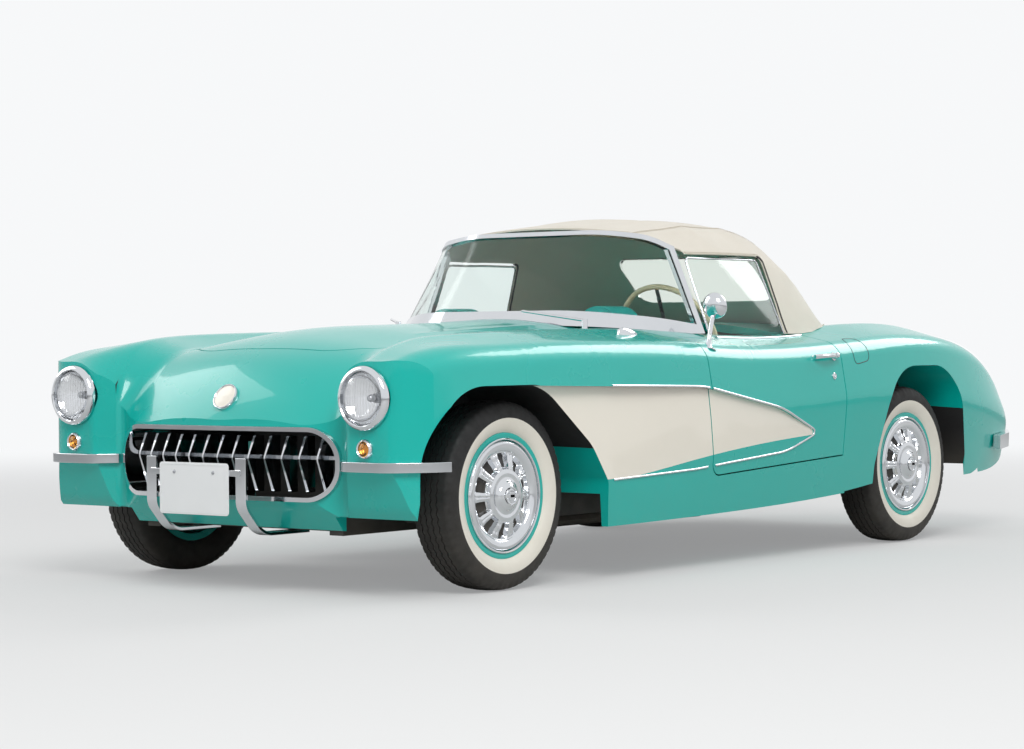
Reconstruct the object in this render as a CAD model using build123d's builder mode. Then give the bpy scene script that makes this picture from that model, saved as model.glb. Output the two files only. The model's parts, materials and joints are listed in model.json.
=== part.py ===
from build123d import *
import math
import os

os.makedirs("parts", exist_ok=True)

# An open two-seat touring car of the middle 1950s with its cloth top up.
# X is the car's left, the nose points to -Y, Z is up and the ground is Z = 0.
# A station is a distance behind the front axle.

# Driving dimensions
front_axle_y = -1490.0
wheelbase = 2591.0
wheel_z = 316.0
front_wheel_x = 724.0  # middle of the front tyres' tread
rear_wheel_x = 749.0
gap = 5.0  # seam between a moving panel and its neighbour
fit = 0.3  # clearance where a piece seats
running = 0.08  # radial clearance of a running fit


def at_station(station):
    return front_axle_y + station


rear_axle_y = at_station(wheelbase)

# Cross sections of the body's left half. Each row gives the station, the height on the centre line, and then
# x and z of the valley beside the hood, the fender's crown, its shoulder, the widest place and the sill.
body_sections = [
    (-575, 480, 505, 470, 572, 764, 840, 762, 880, 560, 800, 240),
    (-455, 702, 505, 618, 588, 800, 848, 790, 884, 570, 820, 215),
    (-300, 812, 455, 776, 622, 834, 856, 808, 888, 590, 840, 200),
    (-120, 862, 470, 806, 650, 856, 860, 806, 890, 610, 856, 190),
    (250, 888, 500, 818, 650, 870, 866, 812, 892, 600, 860, 186),
    (650, 898, 520, 828, 650, 876, 866, 812, 892, 590, 860, 188),
    (1000, 912, 540, 838, 650, 870, 862, 806, 890, 580, 858, 192),
    (1400, 912, 560, 836, 660, 850, 860, 790, 888, 570, 858, 200),
    (1800, 905, 560, 838, 650, 850, 862, 796, 890, 580, 860, 214),
    (2150, 900, 540, 858, 630, 876, 862, 812, 894, 600, 862, 232),
    (2500, 896, 500, 866, 620, 892, 858, 830, 895, 600, 862, 245),
    (2850, 872, 460, 852, 610, 882, 848, 818, 888, 580, 856, 250),
    (3150, 806, 430, 790, 600, 826, 822, 770, 868, 540, 836, 258),
    (3400, 690, 400, 680, 580, 716, 772, 672, 826, 500, 792, 282),
    (3550, 570, 380, 566, 560, 590, 710, 566, 770, 470, 738, 345),
    (3612, 506, 360, 500, 540, 508, 660, 496, 700, 458, 680, 415),
]
section_radii = {"valley": 130, "crown": 130, "shoulder": 90, "widest": 260}
crest_share = 0.4  # how far out the hood's crown stays an arc, as a share of the valley's x

# Hollows under the skin, plain inside: station, centre height, then x and z of valley, crown and shoulder,
# and the side's x. Each side goes straight down and is open below.
nose_hollow = [
    (-430, 700, 500, 600, 625, 765, 772, 742, 800),
    (-300, 790, 458, 752, 632, 806, 812, 772, 832),
    (-120, 840, 470, 785, 642, 832, 822, 778, 832),
    (1040, 892, 540, 822, 645, 848, 824, 780, 834),
]
tail_hollow = [
    (2034, 880, 545, 832, 635, 846, 826, 780, 862),
    (2500, 876, 500, 842, 622, 868, 822, 802, 866),
    (2850, 850, 460, 828, 612, 856, 812, 790, 860),
    (3150, 782, 430, 764, 604, 798, 786, 738, 838),
    (3446, 622, 398, 612, 575, 642, 706, 600, 748),
]
hollow_waist = 590.0
hollow_bottom = 60.0

# The nose is trimmed by a plan outline and a side outline, with the radius of each corner
nose_plan = [
    (0, -538, 900),
    (390, -522, 500),
    (528, -470, 40),
    (588, -556, 40),
    (768, -560, 110),
    (862, -450, 220),
    (930, -200, 5),
    (930, 4000, 5),
]
nose_profile = [
    (-575, 1100, 0),
    (-575, 566, 120),
    (-549, 425, 200),
    (-505, 290, 120),
    (-440, 205, 40),
    (-380, 60, 5),
    (4000, 60, 5),
    (4000, 1100, 0),
]

# Cockpit
cockpit_x = 676.0
cockpit_rear = 2035.0
footwell_front = 1038.0
footwell_top = 790.0
cockpit_plan = [(395, 1000, 90), (600, 1180, 90), (cockpit_x - 10, 1345, 90), (cockpit_x, 1500, 90)]
cockpit_plan += [(cockpit_x, cockpit_rear, 90)]

# Side outlines, as station, height and the corner's radius
front_arch = [(-485, 60, 0), (-478, 683, 400), (130, 683, 260), (392, 470, 200), (472, 345, 60)]
front_arch += [(492, 60, 0)]
rear_arch = [(2232, 60, 0), (2250, 330, 80), (2385, 716, 260), (2905, 716, 260), (3005, 345, 80)]
rear_arch += [(3030, 60, 0)]
front_house_x = 475.0  # inner wall of each wheel house
rear_house_x = 600.0
house_wall = 8.0
cove_outline = [
    (-60, 682, 0),
    (1060, 656, 900),
    (1560, 566, 600),
    (1806, 471, 14),
    (1600, 408, 500),
    (1000, 366, 900),
    (200, 342, 0),
]
door_outline = [(1076, 1000, 0), (1083, 800, 300), (1104, 540, 900), (1108, 330, 46), (2200, 382, 9)]
door_outline += [(2200, 1000, 0)]
door_rear = 2008.0  # station of the door's rear edge at the widest place
door_rear_x = 892.0
door_rear_slope = 0.26  # the rear edge slants so that its inner corner swings clear of the jamb
dogleg_x = 740.0  # the screen's lower corner stands on the body inside the door
dogleg_station = 1345.0

# Plan outlines of the lids, as x, station and the corner's radius
hood_outline = [(0, -314, 900), (300, -302, 260), (440, -208, 70), (548, 868, 40)]
trunk_outline = [(0, 2596, 0), (452, 2604, 60), (438, 3290, 120), (290, 3418, 200), (0, 3436, 900)]
deck_outline = [(600, 2062, 60), (560, 2560, 60), (0, 2584, 900)]
lid_play = 4.0  # more room behind the trunk lid, which swings on its front edge


def fitted_radius(before, here, after, wish):
    """The wished corner radius, or what its two runs leave room for."""
    runs = [math.dist(before, here), math.dist(here, after)]
    way_in = math.atan2(here[1] - before[1], here[0] - before[0])
    way_out = math.atan2(after[1] - here[1], after[0] - here[0])
    turn = abs((way_out - way_in + math.pi) % (2 * math.pi) - math.pi)
    return min(wish, 0.45 * min(runs) / math.tan(turn / 2))


def round_open(points, wishes):
    """A line through rounded corners with sharp ends, inside a BuildLine."""
    spans = range(1, len(points) - 1)
    radii = [fitted_radius(points[i - 1], points[i], points[i + 1], wishes[i]) for i in spans]
    return FilletPolyline(*points, radius=radii)


def round_closed(points, wishes):
    """A closed line through rounded corners, inside a BuildLine."""
    count = len(points)
    after = [*points[1:], points[0]]
    radii = [fitted_radius(points[i - 1], points[i], after[i], wishes[i]) for i in range(count)]
    return FilletPolyline(*points, radius=radii, close=True)


def body_form():
    """The left half of the body as one smooth loft."""
    with BuildPart() as half:
        for station, apex_z, *pairs in body_sections:
            corners = list(zip(pairs[0::2], pairs[1::2]))
            reach = crest_share * corners[0][0]
            brow = Vector(reach, apex_z)
            crest_end = brow + (Vector(*corners[0]) - brow).normalized() * reach
            with BuildSketch(Plane.XZ.offset(-at_station(station))):
                with BuildLine():
                    TangentArc((0, apex_z), (crest_end.X, crest_end.Y), tangent=(1, 0))
                    round_open([(crest_end.X, crest_end.Y), *corners], [0, *section_radii.values(), 0])
                    Polyline(corners[-1], (0, corners[-1][1]), (0, apex_z))
                make_face()
        loft()
    return half.part


def hollow_form(rows):
    """A plain hollow under the left half of the skin."""
    with BuildPart() as half:
        for station, apex_z, valley_x, valley_z, crown_x, crown_z, shoulder_x, shoulder_z, side_x in rows:
            with BuildSketch(Plane.XZ.offset(-at_station(station))):
                with BuildLine():
                    Polyline(
                        (0, apex_z),
                        (valley_x, valley_z),
                        (crown_x, crown_z),
                        (shoulder_x, shoulder_z),
                        (side_x, hollow_waist),
                        (side_x, hollow_bottom),
                        (0, hollow_bottom),
                        close=True,
                    )
                make_face()
        loft(ruled=True)
    return half.part


def side_prism(outline, x_from, x_to, inset=0.0):
    """A side outline of stations and heights, drawn out along X. Its two ends stay sharp."""
    points = [(at_station(station), z) for station, z, radius in outline]
    with BuildPart() as prism:
        with BuildSketch(Plane.YZ.offset(x_from)):
            with BuildLine():
                round_open(points, [radius for station, z, radius in outline])
                Line(points[-1], points[0])
            make_face()
            if inset:
                offset(amount=-inset, kind=Kind.INTERSECTION)
        extrude(amount=x_to - x_from)
    return prism.part


def plan_prism(half, z_from, z_to, inset=0.0):
    """A plan outline of x and station, the same on both sides, drawn up along Z."""
    right = [(-x, station, radius) for x, station, radius in reversed(half) if x > 0]
    whole = [*half, *right]
    with BuildPart() as prism:
        with BuildSketch(Plane.XY.offset(z_from)):
            with BuildLine():
                points = [(x, at_station(station)) for x, station, radius in whole]
                round_closed(points, [radius for x, station, radius in whole])
            make_face()
            if inset:
                offset(amount=-inset, kind=Kind.INTERSECTION)
        extrude(amount=z_to - z_from)
    return prism.part


def block(x_range, station_range, z_range):
    """A plain box between two x values, two stations and two heights."""
    with BuildPart() as box:
        with BuildSketch(Plane.XY.offset(z_range[0])):
            with Locations(((x_range[0] + x_range[1]) / 2, at_station(sum(station_range) / 2))):
                Rectangle(x_range[1] - x_range[0], station_range[1] - station_range[0])
        extrude(amount=z_range[1] - z_range[0])
    return box.part


def bar(start, end, radius, bore=0.0):
    """A round bar from one x, station and height to another, solid or bored through."""
    foot = Vector(start[0], at_station(start[1]), start[2])
    axis = Vector(end[0], at_station(end[1]), end[2]) - foot
    with BuildPart() as rod:
        with BuildSketch(Plane(origin=foot, z_dir=axis.normalized())):
            Circle(radius)
            if bore:
                Circle(bore, mode=Mode.SUBTRACT)
        extrude(amount=axis.length)
    return rod.part


def both_sides(half):
    """A left half and its mirror image, joined without merging their faces."""
    with BuildPart() as pair:
        add(half)
        add(mirror(half, about=Plane.YZ, mode=Mode.PRIVATE), clean=False)
    return pair


def save(builder, name):
    print(name, [round(solid.volume / 1e6, 2) for solid in builder.part.solids()])
    builder.part.label = name
    export_step(builder.part, "parts/" + name + ".step")


# Left half of the body's form, trimmed at the nose, and of the hollows under its skin
with BuildPart() as form:
    add(body_form())
    add(plan_prism(nose_plan, 0, 1200), mode=Mode.INTERSECT)
    add(side_prism(nose_profile, 0, 1000), mode=Mode.INTERSECT)
outer = form.part

# Wheel houses close the hollows off from the wheels and leave room for the front arms and the rear axle
with BuildPart() as houses:
    add(side_prism(front_arch, front_house_x - house_wall, 1000, -house_wall))
    add(side_prism(rear_arch, rear_house_x - house_wall, 1000, -house_wall))
    add(block((0, 1000), (-700, 4000), (-100, 300)), mode=Mode.SUBTRACT)
    add(block((front_house_x - 20, front_house_x + 60), (-190, 190), (0, 470)), mode=Mode.SUBTRACT)
    axle_room = (wheelbase - 80, wheelbase + 80)
    add(block((rear_house_x - 20, rear_house_x + 60), axle_room, (0, 420)), mode=Mode.SUBTRACT)
with BuildPart() as hollow:
    add([hollow_form(nose_hollow), hollow_form(tail_hollow)])
    add(houses.part, mode=Mode.SUBTRACT)

# Openings of the cockpit: from above inside the screen's foot, and below under the cowl
def cockpit_space(inset):
    with BuildPart() as space:
        add(plan_prism(cockpit_plan, 0, 1000, inset))
        side = cockpit_x - inset
        add(block((-side, side), (footwell_front + inset, cockpit_rear - inset), (0, footwell_top - inset)))
    return space.part


cockpit = cockpit_space(0)

# The cove's floor is a plane through three places: deep at the top front, nearly flush at the tip and below
cove_tip = Vector(880, at_station(1790), 468)
cove_top = Vector(848, at_station(100), 680)
cove_low = Vector(869, at_station(200), 344)
cove_rise = cove_top - cove_tip
cove_floor = Plane(origin=cove_tip, x_dir=cove_rise, z_dir=cove_rise.cross(cove_low - cove_tip))
with BuildPart() as cove:
    add(side_prism(cove_outline, 780, 960))
    split(bisect_by=cove_floor, keep=Keep.TOP)


# The door's rear edge and its jamb are parallel slanting faces
def door_wedge(x_from, play):
    edge = [(x, door_rear - door_rear_slope * (door_rear_x - x) + play) for x in (x_from, 1000)]
    with BuildPart() as wedge:
        with BuildSketch(Plane.XY):
            with BuildLine():
                front = at_station(1000)
                Polyline((x_from, front), *[(x, at_station(s)) for x, s in edge], (1000, front), close=True)
            make_face()
        extrude(amount=1200)
    return wedge.part


with BuildPart() as door_opening:
    add(side_prism(door_outline, cockpit_x - 60, 1000))
    add(door_wedge(cockpit_x - 61, 1.1 * gap), mode=Mode.INTERSECT)
    add(block((cockpit_x - 80, dogleg_x), (1000, dogleg_station), (0, 1200)), mode=Mode.SUBTRACT)

# Grille mouth, lamp wells and tail lamp wells
grille_half_width = 505.0
grille_z = 430.0
grille_half_height = 122.0
grille_end = 0.93 * grille_half_height  # radius of its rounded ends
with BuildPart() as mouth:
    with BuildSketch(Plane.XZ.offset(-at_station(-700))):
        with Locations((0, grille_z)):
            RectangleRounded(2 * grille_half_width, 2 * grille_half_height, grille_end)
    extrude(amount=-400)
lamp_x = 674.0
lamp_z = 649.0
lamp_ring = 104.0  # outer radius of the headlamp's rim
lamp_floor = -490.0
park_x = 675.0
park_z = 488.0
park_radius = 32.0
tail_lamp_x = 640.0
tail_lamp_z = 520.0
tail_lamp_radius = 40.0
tail_lamp_floor = 3520.0
lamp_wells = [
    bar((lamp_x, -700, lamp_z), (lamp_x, lamp_floor, lamp_z), lamp_ring - 8),
    bar((park_x, -700, park_z), (park_x, lamp_floor, park_z), park_radius - 4),
    bar((tail_lamp_x, 3700, tail_lamp_z), (tail_lamp_x, tail_lamp_floor, tail_lamp_z), tail_lamp_radius),
]

# Shell of the body
with BuildPart() as shell_half:
    add(outer)
    cutters = [
        hollow.part,
        side_prism(front_arch, front_house_x, 1000),
        side_prism(rear_arch, rear_house_x, 1000),
        cove.part,
        door_opening.part,
        cockpit,
        mouth.part,
        *lamp_wells,
        plan_prism(hood_outline, 700, 1000),
        plan_prism(trunk_outline, 480, 1000),
        plan_prism(deck_outline, 700, 1000),
    ]
    for cutter in cutters:
        add(cutter, clean=False, mode=Mode.SUBTRACT)
save(both_sides(shell_half.part), "body_shell")

# Two low ridges on the hood start buried and fade into it toward the cowl
ridge_radius = 45.0
ridge_path = [(326, -215, 722), (312, 30, 808), (262, 900, 845)]
with BuildPart() as ridge:
    with BuildLine():
        route = [Vector(x, at_station(station), z) for x, station, z in ridge_path]
        FilletPolyline(*route, radius=900)
    with BuildSketch(Plane(origin=route[0], z_dir=route[1] - route[0])):
        Circle(ridge_radius)
    sweep()

# Lids cut from the same skin
lids = (("hood", hood_outline, 700), ("trunk_lid", trunk_outline, 480), ("deck_lid", deck_outline, 700))
for name, outline, low in lids:
    with BuildPart() as lid:
        add(plan_prism(outline, low, 1000, gap))
        if name == "trunk_lid":
            add(block((-600, 600), (3432 - gap - lid_play, 3500), (0, 1000)), mode=Mode.SUBTRACT)
        add(outer, clean=False, mode=Mode.INTERSECT)
        if name == "hood":
            with BuildPart(mode=Mode.PRIVATE) as trimmed_ridge:
                add(ridge.part)
                add(plan_prism(outline, low, 1000, gap), mode=Mode.INTERSECT)
            add(trimmed_ridge.part, clean=False)
        add(hollow.part, clean=False, mode=Mode.SUBTRACT)
    save(both_sides(lid.part), name)

# Side glass leans in from the door to the top's rail
glass_low = 838.0
glass_low_x = 700.0
glass_high = 1138.0
glass_high_x = 592.0
glass_sheet = 5.0
side_glass = [(1350, glass_low - 30), (1338, glass_high), (1826, glass_high), (1868, glass_low - 30)]
glass_lean = Vector(glass_high_x - glass_low_x, 0, glass_high - glass_low).normalized()
glass_plane = Plane(
    origin=(glass_low_x, 0, glass_low), x_dir=(0, 1, 0), z_dir=Vector(0, 1, 0).cross(glass_lean)
)


def side_pane(thickness):
    """The door's window, a leaning sheet."""
    with BuildPart() as pane:
        with BuildSketch(glass_plane):
            with BuildLine():
                points = [(at_station(station), (z - glass_low) / glass_lean.Z) for station, z in side_glass]
                FilletPolyline(*points, radius=[2, 24, 24, 2], close=True)
            make_face()
        extrude(amount=thickness / 2, both=True)
    return pane.part


# Doors, with the window's slot
with BuildPart() as door_left:
    add(side_prism(door_outline, cockpit_x, 1000, gap))
    add(door_wedge(cockpit_x - 1, 0), mode=Mode.INTERSECT)
    add(block((cockpit_x - 1, dogleg_x + gap), (1000, dogleg_station + gap), (0, 1200)), mode=Mode.SUBTRACT)
    add(outer, clean=False, mode=Mode.INTERSECT)
    add(cove.part, clean=False, mode=Mode.SUBTRACT)
    add(side_pane(glass_sheet + 2 * fit), clean=False, mode=Mode.SUBTRACT)
save(door_left, "door_left")
with BuildPart() as door_right:
    add(door_left.part)
    mirror(about=Plane.YZ, mode=Mode.REPLACE)
save(door_right, "door_right")
with BuildPart() as door_glass_left:
    add(side_pane(glass_sheet))
save(door_glass_left, "door_glass_left")
with BuildPart() as door_glass_right:
    add(door_glass_left.part)
    mirror(about=Plane.YZ, mode=Mode.REPLACE)
save(door_glass_right, "door_glass_right")

# Ladder frame: two rails that kick up over the rear axle, and cross members
rail_x = 395.0
rail_width = 60.0
rail_top = 285.0
rail_bottom = 195.0
rail_route = [(-424, 195), (2080, 195), (2330, 400), (2900, 400), (3080, 330), (3400, 330)]
cross_height = 56.0
guard_under = 206.0  # height of the guards' flat feet under the foremost cross member
cross_members = [(-400, guard_under + fit), (700, 212), (1270, 200), (1960, 200), (2250, 364), (3320, 334)]
with BuildPart() as chassis_frame:
    with BuildSketch(Plane.YZ.offset(rail_x)):
        with BuildLine():
            low = [(at_station(station), z) for station, z in rail_route]
            Polyline(*low, *[(y, z + rail_top - rail_bottom) for y, z in reversed(low)], close=True)
        make_face()
    extrude(amount=rail_width)
    for station, z in cross_members:
        add(block((0, rail_x + 1), (station, station + 60), (z, z + cross_height)))
    add(block((0, rail_x + 1), (-70, 70), (198, 268)))
    mirror(about=Plane.YZ)
save(chassis_frame, "chassis_frame")

# Tub: floor, firewall, tunnel, bulkhead behind the seats and trunk floor, with buffers under both lids
floor_low = rail_top + fit
floor_top = floor_low + 12
firewall_station = 760.0
firewall_top = 800.0
bulkhead_rear = cockpit_rear - fit
trunk_floor_z = 500.0
buffer_x = 300.0
buffer_radius = 6.0
trunk_buffer_x = 220.0
trunk_buffer_station = 3270.0
tub_half = cockpit_x - fit
with BuildPart() as buffers:
    for x, station, z in (
        (buffer_x, firewall_station + 6, firewall_top - 1),
        (trunk_buffer_x, trunk_buffer_station, trunk_floor_z + 1),
    ):
        add(bar((x, station, z), (x, station, 880), buffer_radius))
    add(hollow.part.moved(Location((0, 0, -fit))), mode=Mode.INTERSECT)
with BuildPart() as cockpit_tub:
    add(block((-tub_half, tub_half), (footwell_front + fit, bulkhead_rear), (floor_low, floor_top)))
    add(block((-455, 455), (firewall_station, footwell_front + 20), (floor_low, floor_top)))
    add(block((-455, 455), (firewall_station, firewall_station + 12), (floor_low, firewall_top)))
    add(block((-600, 600), (bulkhead_rear - 12, bulkhead_rear), (floor_low, 780)))
    add(block((-120, 120), (firewall_station, bulkhead_rear - 1), (floor_low, 430)))
    tunnel_space = block((-104, 104), (firewall_station - 1, bulkhead_rear + 1), (floor_low - 1, 416))
    add(tunnel_space, mode=Mode.SUBTRACT)
    add(block((-590, 590), (bulkhead_rear, 3300), (trunk_floor_z, trunk_floor_z + 8)))
    add(buffers.part)
    add(mirror(buffers.part, about=Plane.YZ, mode=Mode.PRIVATE))
save(cockpit_tub, "cockpit_tub")

# Radiator, and engine and gearbox as plain blocks, with the shaft to the rear axle
shaft_z = 330.0
engine_end = 690.0
with BuildPart() as radiator:
    add(block((-290, 290), (-60, 0), (268 + fit, 720)))
save(radiator, "radiator")
with BuildPart() as engine_block:
    add(block((-235, 235), (90, engine_end), (290, 790)))
    add(block((-235 - 160, 235 + 160), (400, 440), (rail_top + fit, 330)))
save(engine_block, "engine_block")
with BuildPart() as drive_shaft:
    add(block((-95, 95), (engine_end, 1150), (275, 408)))
    add(bar((0, 1150, shaft_z), (0, wheelbase - 114, wheel_z), 34))
save(drive_shaft, "drive_shaft")

# Tyres: six flat sides, half width and radius of each corner
tyre_radius = wheel_z
tyre_corners = [(66, tyre_radius), (85, 262), (53.5, 192)]
rim_edge = 208.0


def wheel_plane(x, y):
    """Sketch plane through a wheel's axis: local x runs outward, local y is the radius."""
    side = 1 if x > 0 else -1
    return Plane(origin=(x, y, wheel_z), x_dir=(side, 0, 0), z_dir=(0, -side, 0))


def tyre(x, y):
    with BuildPart() as ring:
        with BuildSketch(wheel_plane(x, y)):
            with BuildLine():
                inner_side = [(-across, radius) for across, radius in reversed(tyre_corners)]
                Polyline(*tyre_corners, *inner_side, close=True)
            make_face()
        revolve(axis=Axis((x, y, wheel_z), (1, 0, 0)))
    return ring


# Wheel: a barrel under the tyre and a chromed cover with ten slots round a spinner
axle_stub = 22.0
hub_bore = axle_stub + running
bead, bead_radius = tyre_corners[2]
bead_lean = (tyre_corners[1][0] - bead) / (tyre_corners[1][1] - bead_radius)
flange = bead + bead_lean * (rim_edge - bead_radius) + 1
barrel = [(-flange - 5, rim_edge), (-flange, rim_edge), (-bead - fit, bead_radius - fit)]
barrel += [(bead + fit, bead_radius - fit), (flange, rim_edge), (flange + 5, rim_edge)]
barrel += [(60, 182), (-flange - 5, 182)]
cover = [(8, hub_bore), (8, 60), (26, 178), (60, 183), (68, 178), (58, 148), (80, 84), (84, hub_bore)]
slot_count = 10
slot_circle = 122.0


def wheel(x, y):
    side = 1 if x > 0 else -1
    with BuildPart() as disc:
        with BuildSketch(wheel_plane(x, y)):
            for outline in (barrel, cover):
                with BuildLine():
                    Polyline(*outline, close=True)
                make_face()
        revolve(axis=Axis((x, y, wheel_z), (1, 0, 0)))
        with BuildSketch(Plane(origin=(x + side * 100, y, wheel_z), z_dir=(side, 0, 0))):
            with PolarLocations(slot_circle, slot_count):
                Rectangle(36, 12)
        extrude(amount=-44, mode=Mode.SUBTRACT)
        with BuildSketch(Plane(origin=(x + side * 83, y, wheel_z), z_dir=(side, 0, 0))):
            Circle(30)
            with PolarLocations(30, 2):
                Rectangle(60, 16)
        extrude(amount=14)
    return disc


corners = {
    "fl": (front_wheel_x, front_axle_y),
    "fr": (-front_wheel_x, front_axle_y),
    "rl": (rear_wheel_x, rear_axle_y),
    "rr": (-rear_wheel_x, rear_axle_y),
}
for corner, (x, y) in corners.items():
    save(tyre(x, y), "tyre_" + corner)
    save(wheel(x, y), "wheel_" + corner)

# Knuckles turn on their kingpins between the suspension arms
kingpin_x = 655.0
kingpin_low = wheel_z - 80
kingpin_high = wheel_z + 80
plate_x = 694.0
for side, name in ((1, "knuckle_left"), (-1, "knuckle_right")):
    with BuildPart() as knuckle:
        add(bar((side * kingpin_x, 0, kingpin_low), (side * kingpin_x, 0, kingpin_high), 20))
        add(bar((side * kingpin_x, 0, wheel_z), (side * (front_wheel_x + 80), 0, wheel_z), axle_stub))
        add(bar((side * plate_x, 0, wheel_z), (side * (plate_x + 8), 0, wheel_z), 70))
    save(knuckle, name)

# Front suspension: an upper and a lower arm and a coil spring on each side of the cross member
arm_depth = 16.0
tower_x = rail_x + rail_width + fit
spring_x = 520.0
with BuildPart() as front_suspension:
    for low in (kingpin_low - fit - arm_depth, kingpin_high + fit):
        with BuildSketch(Plane.XY.offset(low)):
            with BuildLine():
                Polyline(
                    (tower_x, at_station(-110)),
                    (kingpin_x + 14, at_station(-20)),
                    (kingpin_x + 14, at_station(20)),
                    (tower_x, at_station(110)),
                    close=True,
                )
            make_face()
        extrude(amount=arm_depth)
    add(block((tower_x, tower_x + 14), (-110, 110), (kingpin_low - 1, kingpin_high + 1)))
    add(bar((spring_x, 0, kingpin_low - 1), (spring_x, 0, kingpin_high + 1), 42))
    mirror(about=Plane.YZ)
save(front_suspension, "front_suspension")

# Rear axle: a turned housing with its differential and drums, and two leaf springs hung from the rails
drum_x = 690.0
housing = [(0, 112), (55, 104), (112, 38), (drum_x, 38), (drum_x, 140), (drum_x + 30, 140)]
housing += [(drum_x + 30, axle_stub), (rear_wheel_x + 80, axle_stub), (rear_wheel_x + 80, 0)]
leaf_x = (476.0, 536.0)
leaf_z = (262.0, 279.0)
leaf_reach = 600.0
shackle_top = 352.0
with BuildPart() as rear_axle:
    with BuildSketch(Plane.XY.offset(wheel_z)):
        with BuildLine():
            left = [(x, rear_axle_y + radius) for x, radius in housing]
            Polyline(*left, *[(-x, y) for x, y in reversed(left[1:])], close=True)
        make_face()
    revolve(axis=Axis((0, rear_axle_y, wheel_z), (1, 0, 0)))
    for side in (1, -1):
        near, far = sorted((side * leaf_x[0], side * leaf_x[1]))
        add(block((near, far), (wheelbase - leaf_reach, wheelbase + leaf_reach), leaf_z))
        leaf_end = wheelbase + leaf_reach
        add(block((near, far), (leaf_end - 16, leaf_end), (leaf_z[0], shackle_top)))
        hung = side * (rail_x + rail_width + fit)
        for station, z in ((wheelbase - leaf_reach + 12, leaf_z[0]), (leaf_end - 8, shackle_top - 8)):
            add(bar((hung, station, z), (side * leaf_x[1], station, z), 14))
save(rear_axle, "rear_axle")

# Exhaust: two eight-sided pipes with silencers, over the axle and out under the tail
exhaust_x = 290.0
exhaust_radius = 22.0
exhaust_route = [(700, 160), (2180, 160), (2420, 450), (2800, 450), (3060, 240), (3460, 232)]
with BuildPart() as exhaust:
    with BuildLine():
        FilletPolyline(*[(exhaust_x, at_station(station), z) for station, z in exhaust_route], radius=90)
    with BuildSketch(Plane(origin=(exhaust_x, at_station(700), 160), x_dir=(1, 0, 0), z_dir=(0, 1, 0))):
        RegularPolygon(exhaust_radius, 8)
    sweep()
    add(bar((exhaust_x, 1400, 160), (exhaust_x, 1860, 160), 36))
    add(block((exhaust_x - 6, exhaust_x + 6), (1300, 1316), (160, 200 - fit)))
    mirror(about=Plane.YZ)
save(exhaust, "exhaust")

# Windscreen: a band between two plan curves, trimmed level with the cowl and with the header
screen_foot = [(395, 890, 380), (640, 1130, 340), (697, 1330, 0)]
screen_foot_z = 850.0
screen_head = [(300, 1220, 800), (480, 1262, 130), (524, 1326, 0)]
screen_head_z = 1262.0
glass_thickness = 6.0
frame_depth = 20.0


def screen_band(thickness, forward, low, high):
    """A curved wall between the foot curve and the head curve, cut between two sloping planes."""
    with BuildPart() as band:
        for curve, z in ((screen_foot, screen_foot_z), (screen_head, screen_head_z)):
            left = [(x, at_station(station - forward), radius) for x, station, radius in curve]
            inner = [(x - thickness, y + thickness, radius) for x, y, radius in reversed(left)]
            whole = [*left, *inner]
            whole += [(-x, y, radius) for x, y, radius in reversed(whole)]
            points = [(x, y) for x, y, radius in whole]
            with BuildSketch(Plane.XY.offset(z)):
                with BuildLine():
                    count = len(whole)
                    radii = [
                        fitted_radius(points[i - 1], points[i], points[(i + 1) % count], whole[i][2])
                        for i in range(count)
                    ]
                    FilletPolyline(*points, radius=radii, close=True)
                make_face()
        loft()
        split(bisect_by=low, keep=Keep.TOP)
        split(bisect_by=high, keep=Keep.BOTTOM)
    return band.part


def slope(station, z, fall):
    """A cutting plane that passes a station and height and falls toward the rear."""
    return Plane(origin=(0, at_station(station), z), x_dir=(1, 0, 0), z_dir=(0, fall, 1))


foot_cut = slope(940, 880, 0.1)
trim_cut = slope(940, 942, 0.16)
header_cut = slope(1190, 1226, 0.56)
top_cut = slope(1190, 1250, 0.56)
post_station = 1300.0
with BuildPart() as windshield_glass:
    add(screen_band(glass_thickness, 0, trim_cut, header_cut))
save(windshield_glass, "windshield_glass")
with BuildPart() as posts:
    add(screen_band(frame_depth, 7, trim_cut, header_cut))
    add(block((-1000, 1000), (0, post_station), (0, 2000)), mode=Mode.SUBTRACT)
    add(windshield_glass.part, clean=False, mode=Mode.SUBTRACT)
with BuildPart() as windshield_frame:
    add(screen_band(frame_depth, 7, foot_cut, trim_cut))
    add(both_sides(outer.moved(Location((0, 0, fit)))).part, clean=False, mode=Mode.SUBTRACT)
    add(screen_band(frame_depth, 7, header_cut, top_cut))
    add(posts.part)
save(windshield_frame, "windshield_frame")

# Cloth top: a hollow shell lofted from half sections, open at the side windows, rear window and front.
# Each row gives the station, the height on the centre line, and x and z of shoulder, eave and foot.
top_wall = 12.0
top_sections = [
    (1130, 1240, 400, 1216, 530, 1156, 706, 848),
    (1400, 1290, 440, 1250, 594, 1160, 706, 848),
    (1800, 1308, 470, 1256, 606, 1154, 704, 848),
    (2060, 1256, 450, 1202, 590, 1082, 694, 848),
    (2300, 1076, 405, 1036, 530, 956, 640, 848),
    (2530, 880, 320, 872, 390, 862, 450, 848),
]
top_radii = {"shoulder": 170, "eave": 90}


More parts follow.
